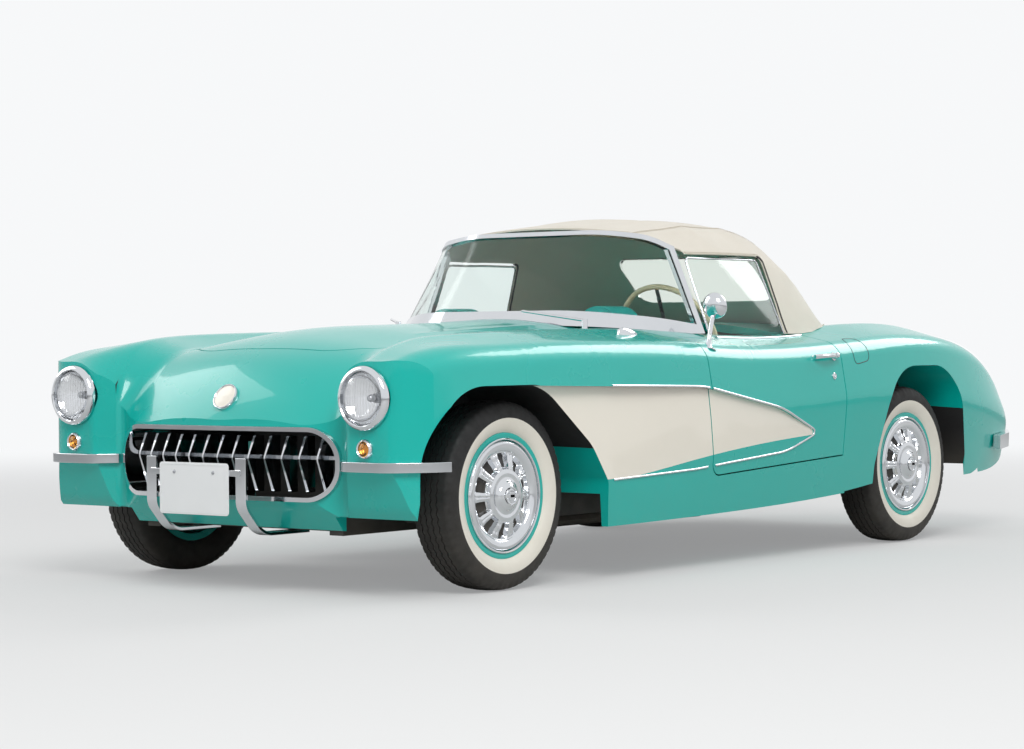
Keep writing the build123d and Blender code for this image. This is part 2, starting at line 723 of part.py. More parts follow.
def top_form(wall):
    with BuildPart() as half:
        for station, apex_z, *pairs in top_sections:
            shoulder, eave, foot = zip(pairs[0::2], pairs[1::2])
            sink = 60 if wall else 0
            corners = [
                (shoulder[0] - 0.4 * wall, shoulder[1] - wall),
                (eave[0] - 0.9 * wall, eave[1] - 0.6 * wall),
                (foot[0] - wall, foot[1] - sink),
            ]
            apex_z -= wall
            brow = Vector(crest_share * corners[0][0], apex_z)
            crest_end = brow + (Vector(*corners[0]) - brow).normalized() * brow.X
            with BuildSketch(Plane.XZ.offset(-at_station(station))):
                with BuildLine():
                    TangentArc((0, apex_z), (crest_end.X, crest_end.Y), tangent=(1, 0))
                    round_open([(crest_end.X, crest_end.Y), *corners], [0, *top_radii.values(), 0])
                    Polyline(corners[-1], (0, corners[-1][1]), (0, apex_z))
                make_face()
        loft()
    return half.part


top_front = [(0, 1204, 900), (300, 1214, 700), (500, 1262, 120), (560, 1348, 60), (760, 1352, 5)]
top_front += [(760, 3000, 5)]
top_window = [(900, 700, 0), (1180, 1148, 60), (1842, 1148, 46), (1882, 700, 0)]
rear_window_half = 330.0
rear_window_low = 985.0
rear_window_high = 1165.0
with BuildPart() as top_half:
    add(top_form(0))
    add(top_form(top_wall), clean=False, mode=Mode.SUBTRACT)
    add(plan_prism(top_front, 0, 1400), clean=False, mode=Mode.INTERSECT)
    add(side_prism(top_window, 520, 900), clean=False, mode=Mode.SUBTRACT)
    header_room = slope(1190, 1250 + 2 * fit, 0.56)
    add(screen_band(frame_depth + 4 * fit, 7 + 2 * fit, foot_cut, header_room), clean=False, mode=Mode.SUBTRACT)
    add(windshield_frame.part.moved(Location((0, fit, 0))), clean=False, mode=Mode.SUBTRACT)
    add(outer.moved(Location((0, 0, fit))), clean=False, mode=Mode.SUBTRACT)
with BuildPart() as window_hole:
    with BuildSketch(Plane.XZ.offset(-at_station(1950))):
        with Locations((0, (rear_window_low + rear_window_high) / 2)):
            RectangleRounded(2 * rear_window_half, rear_window_high - rear_window_low, 60)
    extrude(amount=-600)
with BuildPart() as holed_half:
    add(top_half.part)
    add(window_hole.part, clean=False, mode=Mode.SUBTRACT)
save(both_sides(holed_half.part), "soft_top")
with BuildPart() as pane_half:
    add(top_half.part)
    add(window_hole.part, clean=False, mode=Mode.INTERSECT)
save(both_sides(pane_half.part), "rear_window")

# Dashboard: a padded beam under the screen, bored for the steering column
dash_outline = [(1000, 872), (1000, 900), (1130, 912), (1216, 896), (1236, 850), (1210, 770), (1150, 700)]
dash_outline += [(1080, 690)]
dash_radii = [4, 4, 60, 24, 30, 40, 30, 20]
wheel_tilt = 25.0
steering_x = 370.0
steering_station = 1560.0
steering_z = 838.0
steering_radius = 212.0
pod_z = 850.0  # a round cowl stands over the dashboard before each seat
pod_radius = 104.0
pod_rear = 1242.0
column_radius = 24.0
column_axis = Vector(0, math.cos(math.radians(wheel_tilt)), math.sin(math.radians(wheel_tilt)))
hub = Vector(steering_x, steering_station, steering_z)
with BuildPart() as dashboard:
    with BuildSketch(Plane.YZ.offset(-640)):
        with BuildLine():
            round_closed([(at_station(station), z) for station, z in dash_outline], dash_radii)
        make_face()
    extrude(amount=1280)
    for x in (steering_x, -steering_x):
        add(bar((x, 1090, pod_z), (x, pod_rear, pod_z), pod_radius))
    add(cockpit_space(fit), mode=Mode.INTERSECT)
    add(bar(tuple(hub - column_axis * 900), tuple(hub), column_radius + fit), mode=Mode.SUBTRACT)
save(dashboard, "dashboard")

column_end = hub - column_axis * 60
column_foot = firewall_station + 12 + fit + column_radius * column_axis.Z
column_start = hub - column_axis * ((steering_station - column_foot) / column_axis.Y)
with BuildPart() as steering_column:
    add(bar(tuple(column_start), tuple(column_end), column_radius))
save(steering_column, "steering_column")
wheel_face = Plane(origin=(hub.X, at_station(hub.Y), hub.Z), x_dir=(1, 0, 0), z_dir=column_axis)
rim_plane = Plane(origin=wheel_face.origin, x_dir=(1, 0, 0), z_dir=wheel_face.y_dir)
with BuildPart() as steering_wheel:
    with BuildSketch(rim_plane):
        with Locations((steering_radius, 0)):
            RegularPolygon(11, 8)
    revolve(axis=Axis(wheel_face.origin, column_axis))
    for turn in (90, 210, 330):
        angle = math.radians(turn)
        spoke = wheel_face.x_dir * math.cos(angle) + wheel_face.y_dir * math.sin(angle)
        add(bar(tuple(hub - column_axis * 20), tuple(hub + spoke * (steering_radius - 4)), 7))
    add(bar(tuple(column_end + column_axis * fit), tuple(hub + column_axis * 6), 34))
save(steering_wheel, "steering_wheel")

# Seats: a cushion and a reclined back on each side
seat_x = 352.0
seat_width = 440.0
cushion_outline = [(1440, floor_top + fit), (1430, 470), (1930, 430), (1925, floor_top + fit)]
back_outline = [(1800, 442), (1915, 860), (2000, 850), (1960, 428), (1932, floor_top + 40)]
with BuildPart() as seats:
    for outline in (cushion_outline, back_outline):
        with BuildSketch(Plane.YZ.offset(seat_x - seat_width / 2)):
            with BuildLine():
                round_closed([(at_station(station), z) for station, z in outline], [40] * len(outline))
            make_face()
        extrude(amount=seat_width)
    mirror(about=Plane.YZ)
save(seats, "seats")

# Grille: a chromed ring that follows the nose's curve, and thirteen teeth on a bent cross bar
tooth_count = 13
tooth_pitch = 69.0
ring_width = 15.0
ring_back = -415.0
bar_z = grille_z + 20
nose_bend = 62.0  # how far the grille's ends lie behind its middle


def mouth_prism(inset):
    """A prism with the grille mouth's outline, drawn in on all sides, through the nose."""
    with BuildPart() as prism:
        with BuildSketch(Plane.XZ.offset(-at_station(-620))):
            with Locations((0, grille_z)):
                width, height = 2 * (grille_half_width - inset), 2 * (grille_half_height - inset)
                RectangleRounded(width, height, grille_end - inset)
        extrude(amount=-620 - ring_back)
    return prism.part


with BuildPart() as grille_surround:
    add(mouth_prism(fit))
    add(mouth_prism(ring_width), mode=Mode.SUBTRACT)
    add(plan_prism(nose_plan, 0, 1000, -14), mode=Mode.INTERSECT)
save(grille_surround, "grille_surround")


def bend_station(x):
    return nose_bend * (x / grille_half_width) ** 2


with BuildPart() as tooth:
    with BuildSketch(Plane.YZ.offset(-9)):
        with BuildLine():
            side = [(-502, -94), (-545, 18), (-510, 92), (-474, 92), (-474, -94)]
            round_closed([(at_station(station), grille_z + z) for station, z in side], [10, 24, 10, 4, 4])
        make_face()
    extrude(amount=18)
    with BuildSketch(Plane.XY):
        with BuildLine():
            front, back = at_station(-560), at_station(-460)
            Polyline((-2, front), (2, front), (9, back), (-9, back), close=True)
        make_face()
    extrude(amount=1000, mode=Mode.INTERSECT)
bar_front = -488.0
with BuildPart() as grille_teeth:
    with BuildLine():
        back = at_station(bar_front + nose_bend)
        left_end, right_end = (grille_half_width, back, bar_z), (-grille_half_width, back, bar_z)
        ThreePointArc(right_end, (0, at_station(bar_front), bar_z), left_end)
    with BuildSketch(Plane.YZ.offset(-grille_half_width)):
        with Locations((at_station(bar_front + nose_bend), bar_z)):
            Rectangle(12, 12)
    sweep()
    add(mouth_prism(ring_width + fit), mode=Mode.INTERSECT)
    for i in range(tooth_count):
        x = (i - (tooth_count - 1) / 2) * tooth_pitch
        add(tooth.part.moved(Location((x, bend_station(x), 0))))
save(grille_teeth, "grille_teeth")

# Chrome strips round the front corners follow the nose's outline
strip_depth = 20.0
with BuildPart() as strip:
    add(plan_prism(nose_plan, 414, 446, -strip_depth))
    add(block((grille_half_width + 16, 1000), (-640, -398), (0, 1000)), mode=Mode.INTERSECT)
    add(outer, clean=False, mode=Mode.SUBTRACT)
save(both_sides(strip.part), "front_bumpers")

# Flat guards rise in front of the grille from under the foremost cross member and carry the plate's bar
guard_x = 207.0
guard_thickness = 12.0
plate_hole_x = 90.0
plate_bar_z = 402.0
guard_foot = guard_under - guard_thickness / 2
guard_route = [(-340, guard_foot), (-560, guard_foot), (-640, 290), (-640, 452)]
with BuildPart() as bumper_guards:
    with BuildLine():
        FilletPolyline(*[(guard_x, at_station(station), z) for station, z in guard_route], radius=[90, 60])
    foot_end = (guard_x, at_station(-340), guard_foot)
    with BuildSketch(Plane(origin=foot_end, x_dir=(1, 0, 0), z_dir=(0, -1, 0))):
        Rectangle(46, guard_thickness)
    sweep()
    add(block((0, guard_x), (-650, -640), (plate_bar_z - 10, plate_bar_z + 10)))
    add(bar((plate_hole_x, -660, plate_bar_z), (plate_hole_x, -630, plate_bar_z), 3.5), mode=Mode.SUBTRACT)
    mirror(about=Plane.YZ)
save(bumper_guards, "bumper_guards")

rear_bumper_route = [(300, 3615, 400), (610, 3612, 400), (750, 3560, 396), (824, 3430, 388), (852, 3300, 380)]
with BuildPart() as rear_strip:
    with BuildLine():
        corners = [(x, at_station(station), z) for x, station, z in rear_bumper_route]
        FilletPolyline(*corners, radius=[90, 90, 120])
    with BuildSketch(Plane(origin=(300, at_station(3615), 400), z_dir=(310, -3, 0))):
        Rectangle(30, 60)
    sweep()
    add(outer, clean=False, mode=Mode.SUBTRACT)
save(both_sides(rear_strip.part), "rear_bumpers")

# Lamps
rim_front = -585.0
lens_front = -572.0
with BuildPart() as front_lamp_rims:
    add(bar((lamp_x, lamp_floor - fit, lamp_z), (lamp_x, rim_front, lamp_z), lamp_ring - 8 - fit, 88))
    add(bar((lamp_x, -562, lamp_z), (lamp_x, rim_front, lamp_z), lamp_ring, 88))
    add(bar((park_x, lamp_floor - fit, park_z), (park_x, -574, park_z), park_radius - 4 - fit, 22))
    mirror(about=Plane.YZ)
save(front_lamp_rims, "front_lamp_rims")
with BuildPart() as front_lamp_lenses:
    add(bar((lamp_x, -535, lamp_z), (lamp_x, lens_front, lamp_z), 88 - fit))
    add(bar((park_x, -535, park_z), (park_x, lens_front, park_z), 22 - fit))
    mirror(about=Plane.YZ)
save(front_lamp_lenses, "front_lamp_lenses")
with BuildPart() as tail_lamps:
    seat = tail_lamp_floor + fit
    add(bar((tail_lamp_x, seat, tail_lamp_z), (tail_lamp_x, 3590, tail_lamp_z), tail_lamp_radius - fit))
    mirror(about=Plane.YZ)
save(tail_lamps, "tail_lamps")

# Wipers stand on the cowl and lie along the screen's foot
with BuildPart() as wipers:
    for x, tip_x, tip_station, tip_z in ((450, 160, 905, 938), (-450, -640, 1085, 916)):
        add(bar((x, 905, 840), (x, 905, 905), 11))
        add(bar((x, 905, 900), (tip_x, tip_station, tip_z), 5))
    add(both_sides(outer.moved(Location((0, 0, fit)))).part, clean=False, mode=Mode.SUBTRACT)
save(wipers, "wipers")

# Round mirror on a stand that is seated on the left door
mirror_x = 806.0
with BuildPart() as door_mirror:
    add(bar((mirror_x + 24, 1150, 790), (mirror_x, 1215, 940), 9))
    add(bar((mirror_x, 1200, 946), (mirror_x, 1234, 952), 48))
    add(outer, clean=False, mode=Mode.SUBTRACT)
save(door_mirror, "door_mirror")
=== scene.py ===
import json
import math

import bmesh
import bpy
from mathutils import Matrix, Vector, noise
from mathutils.bvhtree import BVHTree

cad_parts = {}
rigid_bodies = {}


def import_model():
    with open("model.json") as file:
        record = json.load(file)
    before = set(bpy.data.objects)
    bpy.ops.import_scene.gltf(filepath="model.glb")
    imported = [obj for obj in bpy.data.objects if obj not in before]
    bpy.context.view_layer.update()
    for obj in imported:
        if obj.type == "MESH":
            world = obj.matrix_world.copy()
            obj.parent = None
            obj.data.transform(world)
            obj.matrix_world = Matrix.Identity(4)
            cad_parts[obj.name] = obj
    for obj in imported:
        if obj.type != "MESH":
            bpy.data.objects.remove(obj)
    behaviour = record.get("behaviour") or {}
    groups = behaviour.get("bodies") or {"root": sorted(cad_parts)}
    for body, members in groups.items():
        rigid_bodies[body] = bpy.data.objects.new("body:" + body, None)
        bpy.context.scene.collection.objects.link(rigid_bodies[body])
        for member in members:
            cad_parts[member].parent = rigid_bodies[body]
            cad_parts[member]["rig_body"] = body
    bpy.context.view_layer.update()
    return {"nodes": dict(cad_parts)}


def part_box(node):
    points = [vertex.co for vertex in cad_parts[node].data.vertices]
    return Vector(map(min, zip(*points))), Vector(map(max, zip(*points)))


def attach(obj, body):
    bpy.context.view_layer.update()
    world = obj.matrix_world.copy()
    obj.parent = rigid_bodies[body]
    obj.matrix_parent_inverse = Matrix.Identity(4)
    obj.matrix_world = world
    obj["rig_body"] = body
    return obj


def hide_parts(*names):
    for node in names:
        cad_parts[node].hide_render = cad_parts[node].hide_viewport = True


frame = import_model()
scene = bpy.context.scene
scene.view_settings.view_transform = "Standard"


middleStation = 1490  # the origin's distance behind the front axle, in millimetres


def place(x, station, z):  # millimetres on the car, with stations counted from the front axle
    return Vector((x / 1000, (station - middleStation) / 1000, z / 1000))


def clamp(value):
    return max(0.0, min(1.0, value))


def turned(first, second, turn):  # a direction between two that stand square to each other
    return first * math.cos(turn) + second * math.sin(turn)


def facing(normal, way):  # the normal or its opposite, whichever looks that way
    return normal if normal.dot(Vector(way)) > 0 else -normal


def colour(code):  # a web colour as linear light
    parts = [int(code[i : i + 2], 16) / 255 for i in (0, 2, 4)]
    return tuple(p / 12.92 if p < 0.04045 else ((p + 0.055) / 1.055) ** 2.4 for p in parts) + (1.0,)


# shader groups that several finishes share
def newGroup(name, inputs, **outputs):
    tree = bpy.data.node_groups.new(name, "ShaderNodeTree")
    for label, value in inputs.items():
        kind = "NodeSocketColor" if isinstance(value, tuple) else "NodeSocketFloat"
        tree.interface.new_socket(label, in_out="INPUT", socket_type=kind).default_value = value
    for label, kind in outputs.items():
        tree.interface.new_socket(label, in_out="OUTPUT", socket_type="NodeSocket" + kind)
    return tree, tree.nodes.new("NodeGroupInput"), tree.nodes.new("NodeGroupOutput")


def addNode(tree, kind, **settings):
    node = tree.nodes.new(kind)
    for key, value in settings.items():
        if key.startswith("in_"):
            node.inputs[key[3:].replace("_", " ")].default_value = value
        else:
            setattr(node, key, value)
    return node


def wire(tree, *runs):  # each run goes from a node's output to another node's input
    for source, output, target, entry in runs:
        tree.links.new(source.outputs[output], target.inputs[entry])


def makeVariation():  # two close colours, a wandering gloss and a fine bump
    tree, start, end = newGroup(
        "surfaceVariation",
        {
            "Main": (0.5, 0.5, 0.5, 1),
            "Second": (0.4, 0.4, 0.4, 1),
            "Patch Scale": 3.0,
            "Patch Amount": 0.3,
            "Rough Low": 0.2,
            "Rough High": 0.4,
            "Grain Scale": 400.0,
            "Grain Depth": 0.1,
        },
        Color="Color",
        Roughness="Float",
        Normal="Vector",
    )
    where = addNode(tree, "ShaderNodeTexCoord")
    patches = addNode(tree, "ShaderNodeTexNoise", in_Detail=5.0, in_Roughness=0.6)
    grain = addNode(tree, "ShaderNodeTexNoise", in_Detail=3.0)
    amount = addNode(tree, "ShaderNodeMath", operation="MULTIPLY")
    blend = addNode(tree, "ShaderNodeMix", data_type="RGBA")
    gloss = addNode(tree, "ShaderNodeMapRange", in_From_Min=0.3, in_From_Max=0.7)
    bump = addNode(tree, "ShaderNodeBump", in_Distance=0.0006)
    wire(
        tree,
        (where, "Object", patches, "Vector"),
        (start, "Patch Scale", patches, "Scale"),
        (where, "Object", grain, "Vector"),
        (start, "Grain Scale", grain, "Scale"),
        (patches, "Fac", amount, 0),
        (start, "Patch Amount", amount, 1),
        (amount, 0, blend, "Factor"),
        (start, "Main", blend, 6),
        (start, "Second", blend, 7),
        (blend, 2, end, "Color"),
        (patches, "Fac", gloss, "Value"),
        (start, "Rough Low", gloss, "To Min"),
        (start, "Rough High", gloss, "To Max"),
        (gloss, "Result", end, "Roughness"),
        (grain, "Fac", bump, "Height"),
        (start, "Grain Depth", bump, "Strength"),
        (bump, "Normal", end, "Normal"),
    )
    return tree


def makeRoadDust():  # stronger near the ground, broken up by noise
    tree, start, end = newGroup(
        "roadDust",
        {"Clean": (0.1, 0.1, 0.1, 1), "Dust": (0.3, 0.27, 0.22, 1), "Top": 0.45, "Amount": 0.4},
        Color="Color",
        Mask="Float",
    )
    where = addNode(tree, "ShaderNodeTexCoord")
    parts = addNode(tree, "ShaderNodeSeparateXYZ")
    height = addNode(tree, "ShaderNodeMapRange", in_To_Min=1.0, in_To_Max=0.0)
    cloud = addNode(tree, "ShaderNodeTexNoise", in_Scale=14.0, in_Detail=6.0)
    both = addNode(tree, "ShaderNodeMath", operation="MULTIPLY")
    share = addNode(tree, "ShaderNodeMath", operation="MULTIPLY")
    blend = addNode(tree, "ShaderNodeMix", data_type="RGBA")
    wire(
        tree,
        (where, "Object", parts, 0),
        (where, "Object", cloud, "Vector"),
        (parts, "Z", height, "Value"),
        (start, "Top", height, "From Max"),
        (height, "Result", both, 0),
        (cloud, "Fac", both, 1),
        (both, 0, share, 0),
        (start, "Amount", share, 1),
        (share, 0, blend, "Factor"),
        (share, 0, end, "Mask"),
        (start, "Clean", blend, 6),
        (start, "Dust", blend, 7),
        (blend, 2, end, "Color"),
    )
    return tree


def makeWeave():  # crossed threads with slack folds over them
    tree, start, end = newGroup(
        "clothWeave",
        {"Thread Scale": 260.0, "Fold Scale": 5.0, "Thread Depth": 0.3, "Fold Depth": 0.5},
        Height="Float",
        Normal="Vector",
    )
    where = addNode(tree, "ShaderNodeTexCoord")
    over = addNode(tree, "ShaderNodeMath", operation="MAXIMUM")
    folds = addNode(tree, "ShaderNodeTexNoise", in_Detail=4.0)
    near = addNode(tree, "ShaderNodeBump", in_Distance=0.0005)
    far = addNode(tree, "ShaderNodeBump", in_Distance=0.01)
    for entry, direction in enumerate(("X", "Y")):
        wave = addNode(tree, "ShaderNodeTexWave", bands_direction=direction, in_Distortion=0.6, in_Detail=1.0)
        wire(
            tree,
            (where, "Object", wave, "Vector"),
            (start, "Thread Scale", wave, "Scale"),
            (wave, "Fac", over, entry),
        )
    wire(
        tree,
        (over, 0, near, "Height"),
        (over, 0, end, "Height"),
        (start, "Thread Depth", near, "Strength"),
        (where, "Object", folds, "Vector"),
        (start, "Fold Scale", folds, "Scale"),
        (folds, "Fac", far, "Height"),
        (start, "Fold Depth", far, "Strength"),
        (far, "Normal", near, "Normal"),
        (near, "Normal", end, "Normal"),
    )
    return tree


variation, roadDust, clothWeave = makeVariation(), makeRoadDust(), makeWeave()
roadColour = "8a8172"


# a finish from the shared groups; look gives the inputs of surfaceVariation
def makeFinish(name, main, second, look, dust=0.0, weave=None, **constants):
    mat = bpy.data.materials.new(name)
    mat.use_nodes = True
    tree = mat.node_tree
    shader = tree.nodes["Principled BSDF"]
    for key, value in constants.items():
        shader.inputs[key.replace("_", " ")].default_value = value
    group = addNode(tree, "ShaderNodeGroup", node_tree=variation, in_Main=colour(main), in_Second=colour(second))
    for key, value in look.items():
        group.inputs[key].default_value = value
    tint = relief = group
    if dust:
        tint = addNode(tree, "ShaderNodeGroup", node_tree=roadDust, in_Dust=colour(roadColour), in_Amount=dust)
        wire(tree, (group, "Color", tint, "Clean"))
    if weave:
        relief = addNode(tree, "ShaderNodeGroup", node_tree=clothWeave)
        for key, value in weave.items():
            relief.inputs[key].default_value = value
    wire(
        tree,
        (group, "Roughness", shader, "Roughness"),
        (tint, "Color", shader, "Base Color"),
        (relief, "Normal", shader, "Normal"),
    )
    return mat


def gloss(low, high, scale=3.0, amount=0.5, grain=400.0, depth=0.05):
    return {
        "Rough Low": low,
        "Rough High": high,
        "Patch Scale": scale,
        "Patch Amount": amount,
        "Grain Scale": grain,
        "Grain Depth": depth,
    }


lacquer = {"Coat_Weight": 0.55, "Coat_Roughness": 0.02, "IOR": 1.38}
turquoise = makeFinish(
    "turquoiseLacquer", "00b4a8", "00a89d", gloss(0.22, 0.34, 1.6, 0.6, 900, 0.015), dust=0.12, **lacquer
)
ivory = makeFinish("ivoryLacquer", "efe9dc", "e4ddce", gloss(0.25, 0.38, 2.2, 0.5, 900, 0.015), dust=0.12, **lacquer)
chrome = makeFinish("chromePlate", "dfe1e4", "c3c7cc", gloss(0.04, 0.14, 9, 0.5, 700, 0.01), Metallic=1.0)
dullChrome = makeFinish("dullChrome", "b9bcc0", "8f9296", gloss(0.2, 0.38, 12, 0.6, 300, 0.05), Metallic=1.0)
# black satin for the chassis, the body's hollows and the lids' undersides; on the wheel covers it is painted shade on
# the slot floors
blackSatinAndSlotShade = makeFinish("blackChassisAndSlotShade", "17181a", "2a2826", gloss(0.45, 0.7, 8, 0.6, 160, 0.2), dust=0.6)
oilyCast = makeFinish("oilyCastIron", "3a3c3e", "24211e", gloss(0.4, 0.65, 12, 0.7, 120, 0.5), dust=0.4, Metallic=0.6)
exhaustSteel = makeFinish("agedSteel", "8c8780", "5d5148", gloss(0.35, 0.6, 14, 0.8, 200, 0.2), dust=0.4, Metallic=0.9)
tyreRubber = makeFinish("tyreRubber", "121213", "1f1e1d", gloss(0.6, 0.85, 25, 0.5, 260, 0.3), dust=0.22)
whiteBand = makeFinish("whiteRubber", "e9e5da", "d6cfbf", gloss(0.45, 0.65, 18, 0.6, 200, 0.12), dust=0.12)
blackRubber = makeFinish("sealRubber", "0e0e0f", "1d1c1b", gloss(0.45, 0.7, 20, 0.5, 300, 0.15))
carpet = makeFinish(
    "loopCarpet", "23414a", "162b31", gloss(0.85, 0.98, 30, 0.8), Sheen_Weight=0.4,
    weave={"Thread Scale": 120.0, "Thread Depth": 0.9, "Fold Scale": 9.0, "Fold Depth": 0.2},
)
canvas = makeFinish(
    "coatedCanvas", "e6e0d2", "d3cabb", gloss(0.7, 0.88, 6, 0.55), Sheen_Weight=0.25,
    weave={"Thread Scale": 210.0, "Thread Depth": 0.35, "Fold Scale": 4.0, "Fold Depth": 0.22},
)
canvasSeam = makeFinish(
    "canvasBinding", "d8d0c0", "c4bba9", gloss(0.7, 0.85, 20, 0.5), Sheen_Weight=0.25,
    weave={"Thread Scale": 300.0, "Thread Depth": 0.5, "Fold Scale": 20.0, "Fold Depth": 0.1},
)
threadCotton = makeFinish("sewingThread", "b9ae98", "a79c86", gloss(0.7, 0.9, 60, 0.5, 900, 0.3))
beigeVinyl = makeFinish("beigeVinyl", "cfc3a6", "bfb193", gloss(0.42, 0.58, 9, 0.5, 330, 0.45), Coat_Weight=0.1)
turquoiseVinyl = makeFinish("turquoiseVinyl", "179f99", "128d88", gloss(0.38, 0.55, 9, 0.5, 330, 0.45), Coat_Weight=0.1)
ivoryPlastic = makeFinish("ivoryPlastic", "e8dcb8", "dccda4", gloss(0.18, 0.3, 10, 0.5, 400, 0.05), Coat_Weight=0.5)
darkDial = makeFinish("dialFace", "101214", "1b1e20", gloss(0.35, 0.5, 20, 0.5, 500, 0.05))
palePrint = makeFinish("paleMarks", "e4e2d6", "d0cdbd", gloss(0.4, 0.5, 20, 0.4, 500, 0.05))
plateEnamel = makeFinish(
    "plateEnamel", "eef0f0", "e0e3e4", gloss(0.25, 0.4, 8, 0.5, 500, 0.05), dust=0.15, Coat_Weight=0.4
)


def makeGlass(name, tint, low, high, ior=1.45, **constants):
    look = gloss(low, high, 4, 0.2, 300, 0.004)
    return makeFinish(name, tint, tint, look, Transmission_Weight=1.0, IOR=ior, **constants)


windowGlass = makeGlass("windowGlass", "f4faf8", 0.0, 0.03, 1.2)
lampGlass = makeGlass("lampGlass", "ffffff", 0.02, 0.06)
amberGlass = makeGlass("amberGlass", "f2c27a", 0.05, 0.12)
redGlass = makeGlass("redGlass", "c40d12", 0.05, 0.12)
clearSheet = makeGlass("clearSheet", "eef1ea", 0.05, 0.14, 1.15)
print("finishes made")


# mesh helpers
bothSides = ((1, "Left"), (-1, "Right"))
forward, backward, leftward = (0, -1, 0), (0, 1, 0), Vector((1, 0, 0))


def linked(name, data):
    thing = bpy.data.objects.new(name, data)
    scene.collection.objects.link(thing)
    return thing


def addPiece(name, mesh, body, *mats):
    piece = linked(name, mesh)
    if mats:
        picks = [polygon.material_index for polygon in mesh.polygons]
        mesh.materials.clear()  # this also forgets which face has which
        for mat in mats:
            mesh.materials.append(mat)
        mesh.polygons.foreach_set("material_index", picks)
    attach(piece, body)
    return piece


def modify(piece, label, kind, **settings):
    step = piece.modifiers.new(label, kind)
    for key, value in settings.items():
        setattr(step, key, value)


def evaluated(piece):  # the mesh with its modifiers carried out, in place of the piece
    mesh = bpy.data.meshes.new_from_object(piece.evaluated_get(bpy.context.evaluated_depsgraph_get()))
    bpy.data.objects.remove(piece)
    return mesh


def smoothAll(mesh):
    for polygon in mesh.polygons:
        polygon.use_smooth = True


def gridFaces(rows, columns):
    wide = columns + 1
    return [(a, a + 1, a + 1 + wide, a + wide) for r in range(rows) for a in range(r * wide, r * wide + columns)]


def ringFaces(steps, rows, closed=True):  # between the copies of a profile that goes once round
    spans = [(i, (i + 1) % rows) for i in range(rows if closed else rows - 1)]
    pairs = [(step * rows, (step + 1) % steps * rows) for step in range(steps)]
    return [(here + i, here + j, there + j, there + i) for here, there in pairs for i, j in spans]


def prismFaces(count):  # two ends with as many corners as count, and the sides between them
    ends = [tuple(range(count)), tuple(reversed(range(count, 2 * count)))]
    return ends + [(k, (k + 1) % count, count + (k + 1) % count, count + k) for k in range(count)]


def sheetFrom(name, verts, faces, way):  # an open sheet, turned to face one way
    mesh = bpy.data.meshes.new(name)
    mesh.from_pydata([tuple(v) for v in verts], [], faces)
    if sum(p.normal.dot(Vector(way)) * p.area for p in mesh.polygons) < 0:
        mesh.flip_normals()
    return mesh


def meshFrom(name, verts, faces, picks=None, smooth=True, angle=35):
    mesh = bpy.data.meshes.new(name)
    mesh.from_pydata([tuple(v) for v in verts], [], faces)
    bm = bmesh.new()
    bm.from_mesh(mesh)
    if picks:
        for face, pick in zip(bm.faces, picks):
            face.material_index = pick
    bmesh.ops.remove_doubles(bm, verts=bm.verts, dist=1e-6)
    bmesh.ops.recalc_face_normals(bm, faces=bm.faces)
    bm.to_mesh(mesh)
    bm.free()
    for polygon in mesh.polygons:
        polygon.use_smooth = smooth
    mesh.set_sharp_from_angle(angle=math.radians(angle))
    return mesh


# a merged, smooth copy of a CAD node that stands for it
def smoothCopy(node, *mats, angle=30, bevel=0.0, pick=None):
    mesh = frame["nodes"][node].data.copy()
    if "custom_normal" in mesh.attributes:
        mesh.attributes.remove(mesh.attributes["custom_normal"])
    bm = bmesh.new()
    bm.from_mesh(mesh)
    bmesh.ops.remove_doubles(bm, verts=bm.verts, dist=2e-5)
    bmesh.ops.dissolve_degenerate(bm, edges=bm.edges, dist=1e-5)
    for face in bm.faces:
        face.smooth = True
        face.material_index = pick(face) if pick else 0
    bm.to_mesh(mesh)
    bm.free()
    mesh.set_sharp_from_angle(angle=math.radians(angle))
    piece = addPiece(node + "Finish", mesh, frame["nodes"][node]["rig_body"], *mats)
    if bevel:
        modify(
            piece, "edges", "BEVEL", width=bevel, segments=2, limit_method="ANGLE",
            angle_limit=math.radians(35), harden_normals=True,
        )
    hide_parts(node)
    return piece


# turns (along, radius) points in millimetres round an axis through centre
def lathe(name, profile, centre, axis, body, mat=chrome, steps=96, closed=True, angle=35):
    axis = Vector(axis).normalized()
    across = axis.orthogonal().normalized()
    third = axis.cross(across)
    verts = []
    for step in range(steps):
        spoke = turned(across, third, 2 * math.pi * step / steps)
        verts += [Vector(centre) + axis * (along / 1000) + spoke * (radius / 1000) for along, radius in profile]
    mesh = meshFrom(name, verts, ringFaces(steps, len(profile), closed), angle=angle)
    return addPiece(name, mesh, body, mat)


def curveThrough(name, lines, cyclic):  # straight runs between points, in metres
    curve = bpy.data.curves.new(name, "CURVE")
    curve.dimensions = "3D"
    for points in lines:
        line = curve.splines.new("POLY")
        line.points.add(len(points) - 1)
        for point, where in zip(line.points, points):
            point.co = (*where, 1)
        line.use_cyclic_u = cyclic
    return linked(name, curve)


def tube(name, points, radius, body, mat=chrome, cyclic=False):  # a bead along points
    holder = curveThrough(name, [points], cyclic)
    holder.data.bevel_depth = radius
    holder.data.bevel_resolution = 3
    holder.data.use_fill_caps = True
    mesh = evaluated(holder)
    smoothAll(mesh)
    return addPiece(name, mesh, body, mat)


# rounds the corners of a line of points of any dimension
def rounded(points, radii, steps=6, closed=False):
    points = [Vector(p) for p in points]
    count = len(points)
    line = []
    for i, here in enumerate(points):
        radius = radii[i] if isinstance(radii, (list, tuple)) else radii
        if not closed and i in (0, count - 1) or radius <= 0:
            line.append(here)
            continue
        back, ahead = points[i - 1] - here, points[(i + 1) % count] - here
        half = back.angle(ahead) / 2
        reach = min(radius / math.tan(half), 0.45 * min(back.length, ahead.length))
        first, last = here + back.normalized() * reach, here + ahead.normalized() * reach
        for k in range(steps + 1):
            t = k / steps
            line.append(first * (1 - t) ** 2 + here * 2 * t * (1 - t) + last * t**2)
    return line


